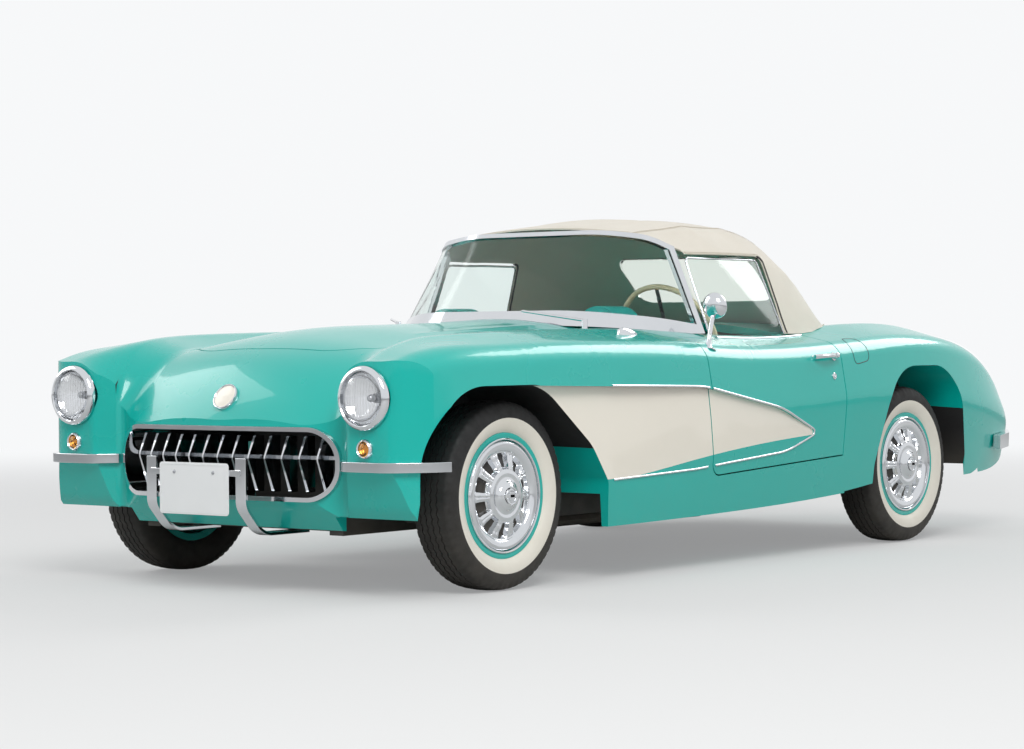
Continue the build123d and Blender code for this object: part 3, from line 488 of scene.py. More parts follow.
def roundMarks(marks, steps=8, closed=False):  # marks hold a flat point and its corner's radius
    return rounded([Vector((a, b)) for a, b, r in marks], [r for a, b, r in marks], steps, closed)


def roundBox(half, low, high, radius, steps):
    corners = ((-half, low), (half, low), (half, high), (-half, high))
    return rounded([Vector(corner) for corner in corners], radius, steps, True)


# points at even steps along a line
def even(points, spacing, closed=False):
    line = list(points) + ([points[0]] if closed else [])
    lengths = [0.0]
    for a, b in zip(line, line[1:]):
        lengths.append(lengths[-1] + (b - a).length)
    count = max(2, round(lengths[-1] / spacing) + 1)
    result, k = [], 0
    for i in range(count - (1 if closed else 0)):
        goal = lengths[-1] * i / (count - 1)
        while k < len(lengths) - 2 and lengths[k + 1] < goal:
            k += 1
        span = lengths[k + 1] - lengths[k] or 1
        result.append(line[k].lerp(line[k + 1], (goal - lengths[k]) / span))
    return result


# flat bands that lie on a surface
def band(name, line, width, height, body, mat, cyclic=False, dome=1.25):
    verts, faces = [], []
    count = len(line)
    shape = [(-0.5, -0.15), (-0.5, 0.55), (-0.38, 1.0), (0.0, dome), (0.38, 1.0), (0.5, 0.55), (0.5, -0.15)]
    for i, (point, normal) in enumerate(line):
        before = line[i - 1][0] if i or cyclic else point
        after = line[(i + 1) % count][0] if i < count - 1 or cyclic else point
        along = (after - before).normalized()
        across = normal.cross(along).normalized()
        up = along.cross(across).normalized()
        if up.dot(normal) < 0:
            up = -up
        verts += [point + across * (a * width) + up * (h * height) for a, h in shape]
    rows = len(shape)
    for i in range(count if cyclic else count - 1):
        here, there = i * rows, (i + 1) % count * rows
        faces += [(here + k, here + (k + 1) % rows, there + (k + 1) % rows, there + k) for k in range(rows)]
    if not cyclic:
        faces += [tuple(range(rows)), tuple(range((count - 1) * rows, count * rows))]
    return addPiece(name, meshFrom(name, verts, faces, angle=60), body, mat)


def treeOf(piece):
    bm = bmesh.new()
    bm.from_mesh(piece.data)
    tree = BVHTree.FromBMesh(bm)
    bm.free()
    return tree


# a Geometry Nodes tree that repeats a small block along a line
def makeRepeatTree():
    tree = bpy.data.node_groups.new("repeatAlong", "GeometryNodeTree")
    face = tree.interface.new_socket
    face("Geometry", in_out="INPUT", socket_type="NodeSocketGeometry")
    for label, value in (("Spacing", 0.01), ("Seed", 1.0)):
        face(label, in_out="INPUT", socket_type="NodeSocketFloat").default_value = value
    face("Block Size", in_out="INPUT", socket_type="NodeSocketVector").default_value = (0.001, 0.001, 0.004)
    face("Finish", in_out="INPUT", socket_type="NodeSocketMaterial")
    face("Geometry", in_out="OUTPUT", socket_type="NodeSocketGeometry")
    start, end = tree.nodes.new("NodeGroupInput"), tree.nodes.new("NodeGroupOutput")
    dots = addNode(tree, "GeometryNodeCurveToPoints", mode="LENGTH")
    block = addNode(tree, "GeometryNodeMeshCube")
    copies = addNode(tree, "GeometryNodeInstanceOnPoints")
    jitter = addNode(tree, "FunctionNodeRandomValue", data_type="FLOAT", in_Min=0.92, in_Max=1.08)
    solid = addNode(tree, "GeometryNodeRealizeInstances")
    finish = addNode(tree, "GeometryNodeSetMaterial")
    wire(
        tree,
        (start, "Geometry", dots, 0),
        (start, "Spacing", dots, "Length"),
        (start, "Block Size", block, "Size"),
        (start, "Seed", jitter, "Seed"),
        (dots, "Points", copies, "Points"),
        (dots, "Rotation", copies, "Rotation"),
        (block, "Mesh", copies, "Instance"),
        (jitter, 1, copies, "Scale"),
        (copies, 0, solid, 0),
        (solid, 0, finish, "Geometry"),
        (start, "Finish", finish, "Material"),
        (finish, 0, end, 0),
    )
    return tree


repeatTree = makeRepeatTree()


# small blocks at even steps along one or more lines, made by the tree above
def repeatAlong(name, lines, spacing, size, body, mat, cyclic=False):
    holder = curveThrough(name, lines, cyclic)
    rule = holder.modifiers.new("repeat", "NODES")
    rule.node_group = repeatTree
    wanted = {"Spacing": spacing, "Block Size": size, "Finish": mat, "Seed": 7.0}
    for item in repeatTree.interface.items_tree:
        if item.item_type == "SOCKET" and item.in_out == "INPUT" and item.name in wanted:
            rule[item.identifier] = wanted[item.name]
    return addPiece(name, evaluated(holder), body, mat)


# body panels
cove = {
    "outline": [(-60, 682, 0), (1060, 656, 900), (1560, 566, 600), (1806, 471, 14)]
    + [(1600, 408, 500), (1000, 366, 900), (200, 342, 0)],
    "tip": (880, 1790, 468),
    "top": (848, 100, 680),
    "low": (869, 200, 344),
    "bead": 0.0042,
    "doorFront": (1081, 1092),  # the gap that no bead crosses
    "split": 500,  # beads above this height belong to the upper edge
    "starts": (470, 492),
    "offset": 3.0,
    "flatness": 0.0006,
    "outside": 0.8,
}
coveTip, coveTop, coveLow = (place(*cove[key]) for key in ("tip", "top", "low"))
coveNormal = (coveTop - coveTip).cross(coveLow - coveTip).normalized()


def inCove(face):
    for side in (1, -1):
        mirrored = [Vector((v.co.x * side, v.co.y, v.co.z)) for v in face.verts]
        if all(v.x > cove["outside"] and abs((v - coveTip).dot(coveNormal)) < cove["flatness"] for v in mirrored):
            return True
    return False


shellTree = treeOf(frame["nodes"]["body_shell"])
wheelHouse = {"stations": (0, 2591), "z": 0.316, "reach": 0.42, "skin": 0.845}


def shellPick(face):  # cove ivory, hollows undercoated, the rest painted
    if inCove(face):
        return 1
    middle, normal = face.calc_center_median(), face.normal
    for station in wheelHouse["stations"]:
        away = math.hypot(middle.y - (station - middleStation) / 1000, middle.z - wheelHouse["z"])
        if away < wheelHouse["reach"] and 0.3 < abs(middle.x) < wheelHouse["skin"]:
            return 2
    hit = shellTree.ray_cast(middle + normal * 0.0008, normal, 0.7)
    return 2 if hit[0] else 0


def doorPick(face):  # vinyl on the inner side
    if inCove(face):
        return 1
    inward = -face.normal.x if face.calc_center_median().x > 0 else face.normal.x
    return 2 if inward > 0.6 else 0


def lidPick(face):
    return 1 if face.normal.z < -0.25 else 0


panels = {"body_shell": smoothCopy("body_shell", turquoise, ivory, blackSatinAndSlotShade, angle=24, pick=shellPick)}
for node in ("door_left", "door_right"):
    panels[node] = smoothCopy(node, turquoise, ivory, turquoiseVinyl, angle=24, pick=doorPick)
for node in ("hood", "trunk_lid", "deck_lid"):
    panels[node] = smoothCopy(node, turquoise, blackSatinAndSlotShade, angle=24, pick=lidPick)
print("panels dressed")

skins = {node: treeOf(piece) for node, piece in panels.items()}


# the outermost point and normal of the skin at a station and a height, both in millimetres
def sideSkin(station, z, side, nodes):
    best = None
    for node in nodes:
        hit = skins[node].ray_cast(place(side * 1400, station, z), Vector((-side, 0, 0)))
        if hit[0] and (best is None or side * hit[0].x > side * best[0].x):
            best = (hit[0], hit[1])
    return best


def topSkin(x, y, nodes):  # the highest one over a place in metres
    best = None
    for node in nodes:
        hit = skins[node].ray_cast(Vector((x, y, 1.6)), Vector((0, 0, -1)))
        if hit[0] and (best is None or hit[0].z > best[0].z):
            best = (hit[0], hit[1])
    return best


# chrome beads round the cove
doors = {1: "door_left", -1: "door_right"}
coveLine = even(roundMarks(cove["outline"], 10), 12.0)
for side, name in bothSides:
    runs = {"body": [], "door": []}
    for where in coveLine:
        station, z = where.x, where.y
        if cove["doorFront"][0] < station < cove["doorFront"][1]:
            continue
        part = "body" if station <= cove["doorFront"][0] else "door"
        lift = cove["offset"] * (1 if z > cove["outline"][3][1] else -1)
        hit = sideSkin(station, z + lift, side, ("body_shell",) if part == "body" else (doors[side],))
        if hit:
            runs[part].append(((station, z), hit[0] + Vector((side * 0.0005, 0, 0))))
    bodyRun = runs["body"]
    upper = [p for (s, z), p in bodyRun if z > cove["split"] and s > cove["starts"][0]]
    lower = [p for (s, z), p in bodyRun if z <= cove["split"] and s > cove["starts"][1]]
    doorRun = [p for key, p in runs["door"]]
    for label, run, rider in (
        ("coveBeadUpper", upper, "body"),
        ("coveBeadLower", lower, "body"),
        ("coveBeadDoor", doorRun, doors[side]),
    ):
        if len(run) > 2:
            tube(label + name, run, cove["bead"], rider)
print("cove beads laid")


def alongMarks(marks, where):  # a value read off a line of marks
    for (a, low), (b, high) in zip(marks, marks[1:]):
        if where <= b:
            return low + (high - low) * (where - a) / (b - a)
    return marks[-1][1]


# thin panels over the slot that the wheel house cuts beside each end of the grille
nosePanel = {
    "skin": [(486, -486), (492, -484), (498, -482), (504, -479.5)]
    + [(522, -479.5), (528, -481), (534, -484), (540, -489)],
    "inner": [(262, 488), (356, 488), (368, 492), (392, 498), (416, 502), (452, 506)],
    "outer": 538,
    "heights": (262, 450),
    "columns": 12,
    "rows": 30,
    "tuck": 0.8,  # how far its free edges lie behind the skin
    "free": {"side": 530, "top": 444, "corner": (497, 375)},
    "wall": 0.003,
}
for side, name in bothSides:
    low, high = nosePanel["heights"]
    columns, rows, free = nosePanel["columns"], nosePanel["rows"], nosePanel["free"]
    verts = []
    for row in range(rows + 1):
        z = low + (high - low) * row / rows
        inner = alongMarks(nosePanel["inner"], z)
        for column in range(columns + 1):
            x = inner + (nosePanel["outer"] - inner) * column / columns
            tucked = x > free["side"] or z > free["top"] or (x < free["corner"][0] and z < free["corner"][1])
            verts.append(place(side * x, alongMarks(nosePanel["skin"], x) + (nosePanel["tuck"] if tucked else 0), z))
    mesh = sheetFrom("nosePanel" + name, verts, gridFaces(rows, columns), forward)
    smoothAll(mesh)
    panel = addPiece("nosePanel" + name, mesh, "body", turquoise)
    modify(panel, "wall", "SOLIDIFY", thickness=nosePanel["wall"], offset=-1)
print("nose panels laid")

# bright parts that keep their CAD shape
for node, width in (
    ("windshield_frame", 0.0),
    ("grille_surround", 0.002),
    ("grille_teeth", 0.0018),
    ("front_bumpers", 0.003),
    ("bumper_guards", 0.002),
    ("rear_bumpers", 0.004),
    ("wipers", 0.0),
):
    smoothCopy(node, chrome, bevel=width)
for node, mat in (
    ("cockpit_tub", carpet),
    ("chassis_frame", blackSatinAndSlotShade),
    ("radiator", blackSatinAndSlotShade),
    ("engine_block", oilyCast),
    ("drive_shaft", oilyCast),
    ("front_suspension", blackSatinAndSlotShade),
    ("rear_axle", blackSatinAndSlotShade),
    ("exhaust", exhaustSteel),
    ("knuckle_left", oilyCast),
    ("knuckle_right", oilyCast),
    ("steering_column", ivoryPlastic),
    ("dashboard", turquoiseVinyl),
):
    smoothCopy(node, mat)
for node, mat in (
    ("windshield_glass", windowGlass),
    ("door_glass_left", windowGlass),
    ("door_glass_right", windowGlass),
    ("rear_window", clearSheet),
):
    smoothCopy(node, mat, angle=40)
print("frame parts dressed")

# wheels
tyreShape = {
    "radius": 316.0,
    "whiteFrom": 211.0,
    "whiteTo": 258.0,
    "ribs": 5,
    "half": 60.0,
    "zigzag": 3.0,
    "pitches": 64,
    "grooveDepth": 7.0,
    "ribEdge": 2.4,
    "grooveHalf": 1.4,
    "crownDrop": 4.5,
    "shoulderCut": 3.5,
    "foot": (48, 191.5),
}
wheelCentres = {
    "fl": ((724, 0, 316), 1, "front_left_wheel"),
    "fr": ((-724, 0, 316), -1, "front_right_wheel"),
    "rl": ((749, 2591, 316), 1, "rear_left_wheel"),
    "rr": ((-749, 2591, 316), -1, "rear_right_wheel"),
}


def onWheel(centre, out, radius, turn):
    return place(centre[0] + out, centre[1] + radius * math.cos(turn), centre[2] + radius * math.sin(turn))


# a carcass with zigzag ribs; the outer wall carries the white band
def tyreMesh(name, centre, side):
    wall = [(52, 193), (56, 202), (64, 209), (72, 216), (79.5, 230), (83.5, 245), (84.6, 258), (84.2, 268)]
    wall += [(81.5, 282), (77, 295), (71.5, 304), (66, 309.5)]
    ribs, half, crown = tyreShape["ribs"], tyreShape["half"], tyreShape["radius"]
    edge, grooveHalf = tyreShape["ribEdge"], tyreShape["grooveHalf"]
    bottom = crown - tyreShape["grooveDepth"]
    pitch = 2 * half / ribs
    tread = []
    for i in range(ribs):
        left, last = half - i * pitch, i == ribs - 1
        for x, shift, sways in ((left, -edge * (i > 0), i > 0), (left - pitch, edge * (not last), not last)):
            tread.append((x + shift, crown - tyreShape["crownDrop"] * (x / half) ** 2, sways))
        if not last:
            tread += [(left - pitch + grooveHalf, bottom, True), (left - pitch - grooveHalf, bottom, True)]
    profile = [(x, r, False) for x, r in wall] + tread + [(-x, r, False) for x, r in reversed(wall)]
    footX, footRadius = tyreShape["foot"]
    profile += [(-footX, footRadius, False), (footX, footRadius, False)]
    steps = tyreShape["pitches"] * 4
    verts, picks = [], []
    rows = len(profile)
    for step in range(steps):
        turn = 2 * math.pi * step / steps
        sway = tyreShape["zigzag"] * (1, 0, -1, 0)[step % 4]
        shoulderCut = tyreShape["shoulderCut"] if step % 4 == 2 else 0.0
        for k, (x, r, sways) in enumerate(profile):
            across = x + (sway if sways else 0.0)
            radius = r - (shoulderCut if 9 <= k <= 12 or rows - 15 <= k <= rows - 12 else 0.0)
            verts.append(onWheel(centre, side * across, radius, turn))
    for i in range(rows):
        middle = (profile[i][1] + profile[(i + 1) % rows][1]) / 2
        white = i < len(wall) and tyreShape["whiteFrom"] < middle < tyreShape["whiteTo"]
        picks.append(1 if white else 0)
    return meshFrom(name, verts, ringFaces(steps, rows), picks * steps, angle=40)


cover = {
    "slots": 10,
    "slotInner": 88.0,
    "slotOuter": 142.0,
    "slotWidth": 0.3,
    "slotDepth": 15.0,
    "slotSlope": 6.0,
    "finHeight": 5.0,
    "finAt": 0.42,
    "finWidth": 0.07,
    "innerRadius": 3.0,
    "rings": 66,
    "steps": 300,
    "outerRadius": 184.0,
}


# how far the bright cover stands out at a place, in millimetres, and whether it is a slot whose floor carries painted
# shade
def coverHeight(radius, turn):
    marks = [(0, 98), (22, 98), (30, 94), (44, 88), (52, 80), (62, 77), (74, 79), (86, 76), (100, 69), (128, 60)]
    marks += [(146, 58), (152, 66), (160, 69), (172, 70), (178, 68), (184, 60)]
    for (r0, h0), (r1, h1) in zip(marks, marks[1:]):
        if radius <= r1:
            t = (radius - r0) / (r1 - r0)
            t = t * t * (3 - 2 * t)
            height = h0 + (h1 - h0) * t
            break
    else:
        height = marks[-1][1]
    along = (turn / (2 * math.pi) * cover["slots"]) % 1.0 - 0.5
    ends = min(radius - cover["slotInner"], cover["slotOuter"] - radius) / cover["slotSlope"]
    sides = (cover["slotWidth"] - abs(along)) / 0.05
    opening = clamp(ends) * clamp(sides)
    fin = clamp(ends) * math.exp(-(((abs(along) - cover["finAt"]) / cover["finWidth"]) ** 2)) * cover["finHeight"]
    return height - cover["slotDepth"] * opening + fin, opening > 0.9


def coverMesh(name, centre, side):
    verts, faces, picks, shadedSlot = [], [], [], []
    steps, rings = cover["steps"], cover["rings"]
    for ring in range(rings + 1):
        radius = cover["innerRadius"] + (cover["outerRadius"] - cover["innerRadius"]) * ring / rings
        for step in range(steps):
            turn = 2 * math.pi * step / steps
            height, hole = coverHeight(radius, turn)
            shadedSlot.append(hole)
            verts.append(onWheel(centre, side * height, radius, turn))
    for ring in range(rings):
        for step in range(steps):
            a, b = ring * steps + step, ring * steps + (step + 1) % steps
            quad = (a, b, b + steps, a + steps)
            faces.append(quad)
            # slot floors take the black satin finish as painted shade for the dark inside of an open slot
            picks.append(1 if all(shadedSlot[v] for v in quad) else 0)
    faces.append(tuple(range(steps)))
    picks.append(0)
    mesh = meshFrom(name, verts, faces, picks, angle=50)
    outward = sum((p.normal.x * p.area for p in mesh.polygons), 0.0)
    if outward * side < 0:
        mesh.flip_normals()
    return mesh


for corner, (centre, side, rider) in wheelCentres.items():
    label, out, hub = corner.upper(), (side, 0, 0), place(*centre)
    tyre = addPiece("tyre" + label, tyreMesh("tyre" + corner, centre, side), rider, tyreRubber, whiteBand)
    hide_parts("tyre_" + corner)
    addPiece("cover" + label, coverMesh("cover" + corner, centre, side), rider, chrome, blackSatinAndSlotShade)
    rimLine = [(-57, 209), (-63, 209), (-60, 184), (60, 184), (63, 188), (67, 203), (66, 209), (62, 210.5), (58, 208)]
    rim = lathe("rim" + label, rimLine + [(54, 193), (50, 191), (-50, 191)], hub, out, rider, turquoise, 120)
    ring = [(64, 184), (70, 185), (71, 188), (69, 191), (64, 191)]
    lathe("beautyRing" + label, ring, hub, out, rider, steps=120)
    back = lathe("wheelBack" + label, [(20, 70), (24, 120), (34, 183)], hub, out, rider, blackSatinAndSlotShade, 48, False)
    modify(back, "wall", "SOLIDIFY", thickness=0.004)
    spin = bmesh.new()
    for turn, size in ((0, (0.011, 0.068, 0.017, 1)), (math.pi / 2, (0.011, 0.03, 0.03, 1))):  # the two crossed bars
        spot = Matrix.Translation(hub + Vector((side * 0.0965, 0, 0)))
        bmesh.ops.create_cube(spin, size=1.0, matrix=spot @ Matrix.Rotation(turn, 4, "X") @ Matrix.Diagonal(size))
    spinMesh = bpy.data.meshes.new("spinner" + corner)
    spin.to_mesh(spinMesh)
    spin.free()
    modify(addPiece("spinner" + label, spinMesh, rider, chrome), "edges", "BEVEL", width=0.004, segments=3)
    lathe("hubRing" + label, [(97, 24), (100, 25), (100.5, 28), (97, 30)], hub, out, rider, chrome, 64, False)
    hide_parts("wheel_" + corner)
print("wheels built")

# lamps
lamp = {"head": (674, -535, 649), "park": (675, -550, 488), "tail": (640, 3560, 520)}
for side, name in bothSides:
    centre, little = (place(side * x, station, z) for x, station, z in (lamp["head"], lamp["park"]))
    bezelLine = [(26, 104), (34, 104.5), (42, 101), (47, 96), (49, 90), (46, 87), (40, 86.5), (26, 87)]
    bezel = lathe("lampBezel" + name, bezelLine, centre, forward, "body")
    lensLine = [(30, 86), (35, 84), (40, 72), (44, 54), (46.5, 30), (47.5, 0.5)]
    lensLine += [(43, 0.5), (41, 40), (36, 70), (30, 82)]
    lens = lathe("lampLens" + name, lensLine, centre, forward, "body", lampGlass, angle=60)
    bowlLine = [(29, 86), (16, 78), (0, 62), (-12, 40), (-18, 18), (-19, 0.5)]
    lathe("lampBowl" + name, bowlLine, centre, forward, "body", closed=False, angle=60)
    bulbLine = [(-17, 12), (-8, 13), (0, 11), (5, 6), (6, 0.5)]
    lathe("lampBulb" + name, bulbLine, centre, forward, "body", dullChrome, 32, False)
    ring = [(4, 31.5), (12, 32), (20, 30), (24, 26), (20, 23), (4, 23.5)]
    lathe("parkRing" + name, ring, little, forward, "body", steps=64)
    lensLine = [(12, 23), (20, 20), (25, 12), (26.5, 0.5), (22, 0.5), (12, 18)]
    lathe("parkLens" + name, lensLine, little, forward, "body", amberGlass, 64)
    lathe("parkBowl" + name, [(11, 23), (2, 16), (-2, 0.5)], little, forward, "body", steps=48, closed=False)
    flutes = []
    for i in range(-6, 7):  # fine ribs moulded in the lens
        x = i * 0.0118
        reach = math.sqrt(max(0.0, 0.078**2 - x * x))
        heights = (-reach, -reach / 2, 0, reach / 2, reach)
        flutes.append([centre + Vector((x, -0.0466 + 1.5 * (x * x + z * z), z)) for z in heights])
    repeatAlong("lampFlutes" + name, flutes, 0.012, (0.0012, 0.0012, 0.0118), "body", lampGlass)
    if side > 0:
        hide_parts("front_lamp_rims")
        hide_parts("front_lamp_lenses")
for side, name in bothSides:
    x, station, z = lamp["tail"]
    centre = place(side * x, station, z)
    glowLine = [(20, 36), (34, 34), (48, 26), (58, 14), (61, 0.5), (20, 0.5)]
    glow = lathe("tailLens" + name, glowLine, centre, backward, "body", redGlass, 64, False)
    lathe("tailRing" + name, [(-20, 40), (24, 40.5), (32, 38), (30, 35), (-20, 34)], centre, backward, "body", steps=64)
    lathe("tailBowl" + name, [(20, 35), (4, 25), (0, 0.5)], centre, backward, "body", steps=48, closed=False)
    if side > 0:
        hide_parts("tail_lamps")
print("lamps built")

# the cloth top, stretched over its bows
topCloth = {
    "rows": [
        (1130, 1240, 400, 1216, 530, 1156, 706, 848),
        (1400, 1290, 440, 1250, 594, 1160, 706, 848),
        (1800, 1308, 470, 1256, 606, 1154, 704, 848),
        (2060, 1256, 450, 1202, 590, 1082, 694, 848),
        (2300, 1076, 405, 1036, 530, 956, 640, 848),
        (2530, 880, 320, 872, 390, 862, 450, 848),
    ],
    "rounds": [0, 170, 90, 0],
    "crest": 0.4,
    "front": [(0, 1206), (300, 1216), (470, 1252), (520, 1290), (556, 1352), (800, 1352)],
    "sideWindow": [(1100, 700, 0), (1100, 1148, 0), (1842, 1148, 46), (1882, 700, 0)],
    "rearWindow": {"half": 330, "low": 985, "high": 1165, "round": 60},
    "bows": [1290, 1560, 1810, 2075],
    "sag": 5.5,
    "ripple": 1.6,
    "wall": 3.2,
    "rowsAcross": 116,
    "clear": 0.0015,  # at least this far over the body's skin
    "firmBelow": 1.08,  # no sag below this height
    "pulledBelow": 1.16,
    "flat": (1.93, 1.47),  # girth over the highest bow, and header to rear hem
    "area": 1.79,  # the CAD top's volume over its 12 mm wall
}


def naturalSpline(xs, ys):
    n = len(xs)
    bend = [0.0] * n
    work = [0.0] * n
    for i in range(1, n - 1):
        share = (xs[i] - xs[i - 1]) / (xs[i + 1] - xs[i - 1])
        p = share * bend[i - 1] + 2
        bend[i] = (share - 1) / p
        slopes = (ys[i + 1] - ys[i]) / (xs[i + 1] - xs[i]) - (ys[i] - ys[i - 1]) / (xs[i] - xs[i - 1])
        work[i] = (6 * slopes / (xs[i + 1] - xs[i - 1]) - share * work[i - 1]) / p
    bend[n - 1] = 0.0
    for i in range(n - 2, -1, -1):
        bend[i] = bend[i] * bend[i + 1] + work[i]

    def value(x):
        k = 0
        while k < n - 2 and x > xs[k + 1]:
            k += 1
        h = xs[k + 1] - xs[k]
        a, b = (xs[k + 1] - x) / h, (x - xs[k]) / h
        return a * ys[k] + b * ys[k + 1] + ((a**3 - a) * bend[k] + (b**3 - b) * bend[k + 1]) * h * h / 6

    return value


topSplines = [naturalSpline([r[0] for r in topCloth["rows"]], [r[i] for r in topCloth["rows"]]) for i in range(1, 8)]


def topSection(station):  # half of a cross section, from the middle down to the foot
    apex, sx, sz, ex, ez, fx, fz = (spline(station) for spline in topSplines)
    brow = Vector((topCloth["crest"] * sx, apex))
    shoulder = Vector((sx, sz))
    crestEnd = brow + (shoulder - brow).normalized() * brow.x
    drop = apex - crestEnd.y
    big = (crestEnd.x**2 + drop**2) / (2 * drop)
    reach = math.asin(min(1.0, crestEnd.x / big))
    line = [Vector((big * math.sin(reach * k / 12), apex - big * (1 - math.cos(reach * k / 12)))) for k in range(12)]
    corners = rounded([crestEnd, shoulder, Vector((ex, ez)), Vector((fx, fz))], topCloth["rounds"], 8)
    for a, b, extra in ((0, 1, 4), (1, 9, 1), (9, 10, 7), (10, 18, 1), (18, 19, 18)):
        if extra == 1:
            line += corners[a:b]
        else:
            line += [corners[a].lerp(corners[b], k / extra) for k in range(extra)]
    return line + [corners[-1]]


tableStart, tableStep = 1190, 10
topStations = [tableStart + tableStep * i for i in range(135)]
topTable = [topSection(s) for s in topStations]
headerRow = topTable[6]
halfCount = len(headerRow)


def clothSpot(column, station):
    t = max(0.0, min(len(topStations) - 1.001, (station - tableStart) / tableStep))
    k = int(t)
    flat = topTable[k][abs(column)].lerp(topTable[k + 1][abs(column)], t - k)
    return place(flat.x * (1 if column >= 0 else -1), station, flat.y)


deckNodes = ("body_shell", "deck_lid", "trunk_lid")
columnEnds = []
for column in range(halfCount):
    end = 2520.0
    for station in range(1890, 2530, 6):
        spot = clothSpot(column, station)
        skin = topSkin(spot.x, spot.y, deckNodes)
        if skin and spot.z < skin[0].z + 0.002:
            end = float(station)
            break
    columnEnds.append(end)
for sweep in range(3):
    near = [columnEnds[max(0, i - 1) : i + 2] for i in range(halfCount)]
    columnEnds = [sum(group) / len(group) for group in near]

clothVerts, clothPlaces = [], []
clothRows = topCloth["rowsAcross"]
columns = list(range(-halfCount + 1, halfCount))
for row in range(clothRows + 1):
    for column in columns:
        start = alongMarks(topCloth["front"], abs(headerRow[abs(column)].x))
        station = start + (columnEnds[abs(column)] - start) * row / clothRows
        spot = clothSpot(column, station)
        skin = topSkin(spot.x, spot.y, deckNodes)
        if skin and spot.z < skin[0].z + topCloth["clear"]:
            spot.z = skin[0].z + topCloth["clear"]
        clothVerts.append(spot)
        clothPlaces.append(station)
wide = len(columns)
clothMesh = sheetFrom("topCloth", clothVerts, gridFaces(clothRows, wide - 1), (0, 0, 1))
rims = {row * wide + k for row in range(clothRows + 1) for k in (0, wide - 1)}
rims |= set(range(wide)) | set(range(clothRows * wide, (clothRows + 1) * wide))
normals = [Vector(v.normal) for v in clothMesh.vertices]
for i, vertex in enumerate(clothMesh.vertices):
    station, height = clothPlaces[i], vertex.co.z
    slack = 0.0
    for b0, b1 in zip(topCloth["bows"], topCloth["bows"][1:]):
        if b0 < station < b1:
            t = (station - b0) / (b1 - b0)
            slack = 4 * t * (1 - t) * topCloth["sag"] * clamp((height - topCloth["firmBelow"]) / 0.1)
    where = vertex.co
    fold = noise.noise(Vector((where.x * 5, where.y * 11, where.z * 7))) + 0.5 * noise.noise(where * 17)
    pull = clamp((topCloth["pulledBelow"] - height) / 0.1)
    ripple = topCloth["ripple"] * (0.6 + pull) * (fold - 0.9)
    if i not in rims:
        vertex.co = where + normals[i] * ((ripple - slack) / 1000)
clothSheet = linked("topClothSheet", clothMesh)
modify(clothSheet, "wall", "SOLIDIFY", thickness=topCloth["wall"] / 1000, offset=-1, use_even_offset=True)


def prismMesh(name, outline, start, end):  # a closed prism between two copies of an outline
    verts = [start(p) for p in outline] + [end(p) for p in outline]
    return meshFrom(name, verts, prismFaces(len(outline)), smooth=False)


sideLine = roundMarks(topCloth["sideWindow"], 8, True)
pane = topCloth["rearWindow"]
rearLine = roundBox(pane["half"], pane["low"], pane["high"], pane["round"], 10)
cutters = [
    prismMesh("sideCut" + name, sideLine, lambda p: place(a, p.x, p.y), lambda p: place(b, p.x, p.y))
    for a, b, name in ((500, 900, "Left"), (-900, -500, "Right"))
]
cutters.append(prismMesh("rearCut", rearLine, lambda p: place(p.x, 1950, p.y), lambda p: place(p.x, 2600, p.y)))
cutters = [linked(mesh.name, mesh) for mesh in cutters]
for holder in cutters:
    modify(clothSheet, "cut", "BOOLEAN", operation="DIFFERENCE", solver="EXACT", object=holder)
cutMesh = evaluated(clothSheet)
for holder in cutters:
    bpy.data.objects.remove(holder)
smoothAll(cutMesh)
cutMesh.set_sharp_from_angle(angle=math.radians(50))
cloth = addPiece("clothTop", cutMesh, "body", canvas)
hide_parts("soft_top")
print("cloth top cut")

clothTree = treeOf(cloth)


def onCloth(point, direction, lift=0.0004):
    hit = clothTree.ray_cast(point - direction * 0.6, direction)
    if hit[0] is None:
        return None
    normal = facing(hit[1], -direction)
    return hit[0] + normal * lift, normal


thread = {"pitch": 0.006, "size": (0.0009, 0.0009, 0.0038)}


def stitch(name, line, lift, shift=0.0, cyclic=False):
    points = [spot + normal * lift + Vector((shift, 0, 0)) for spot, normal in line]
    repeatAlong(name, [points], thread["pitch"], thread["size"], "body", threadCotton, cyclic)


def onClothAll(spots, direction, lift=0.0004):
    hits = [onCloth(spot, Vector(direction), lift) for spot in spots]
    return [hit for hit in hits if hit]


sideEdge = [(1360, 1154, 0), (1836, 1154, 30), (1850, 1142, 60), (1889, 760, 0)]
for side, name in bothSides:
    edge, inward = roundMarks(sideEdge), (-side, 0, 0)
    line = onClothAll([place(side * 620, p.x, p.y) for p in even(edge, 9)], inward)
    band("sideBinding" + name, line, 0.013, 0.0022, "body", canvasSeam)
    stitch("sideStitch" + name, line, 0.0028)
    lower = even([Vector((p.x, p.y - 8)) for p in edge], 9)
    seal = onClothAll([place(side * 620, p.x, p.y) for p in lower], inward, -0.001)
    tube("sideSeal" + name, [spot for spot, normal in seal], 0.006, "body", blackRubber)
    seam = onClothAll([place(side * (418 + 0.02 * (s - 1210)), s, 1500) for s in range(1236, 2060, 10)], (0, 0, -1))
    band("roofSeam" + name, seam, 0.014, 0.0014, "body", canvasSeam, dome=1.0)
    stitch("roofStitchIn" + name, seam, 0.0018, -0.0045)
    stitch("roofStitchOut" + name, seam, 0.0018, 0.0045)
around = even([Vector((p.x * 1.025, (p.y - 1075) * 1.09 + 1075)) for p in rearLine], 10, True)
line = onClothAll([place(p.x, 2300, p.y) for p in around], forward)
band("rearWindowBinding", line, 0.018, 0.0018, "body", canvasSeam, cyclic=True)
stitch("rearWindowStitch", line, 0.0026, cyclic=True)
front = []
for column in columns:
    x = headerRow[abs(column)].x
    if x < 552:
        spot = clothSpot(column, alongMarks(topCloth["front"], x) + 8)
        hit = onCloth(spot, Vector((0, 0, -1)))
        if hit:
            front.append(hit)
band("headerBinding", front, 0.016, 0.002, "body", canvasSeam)
hem = []
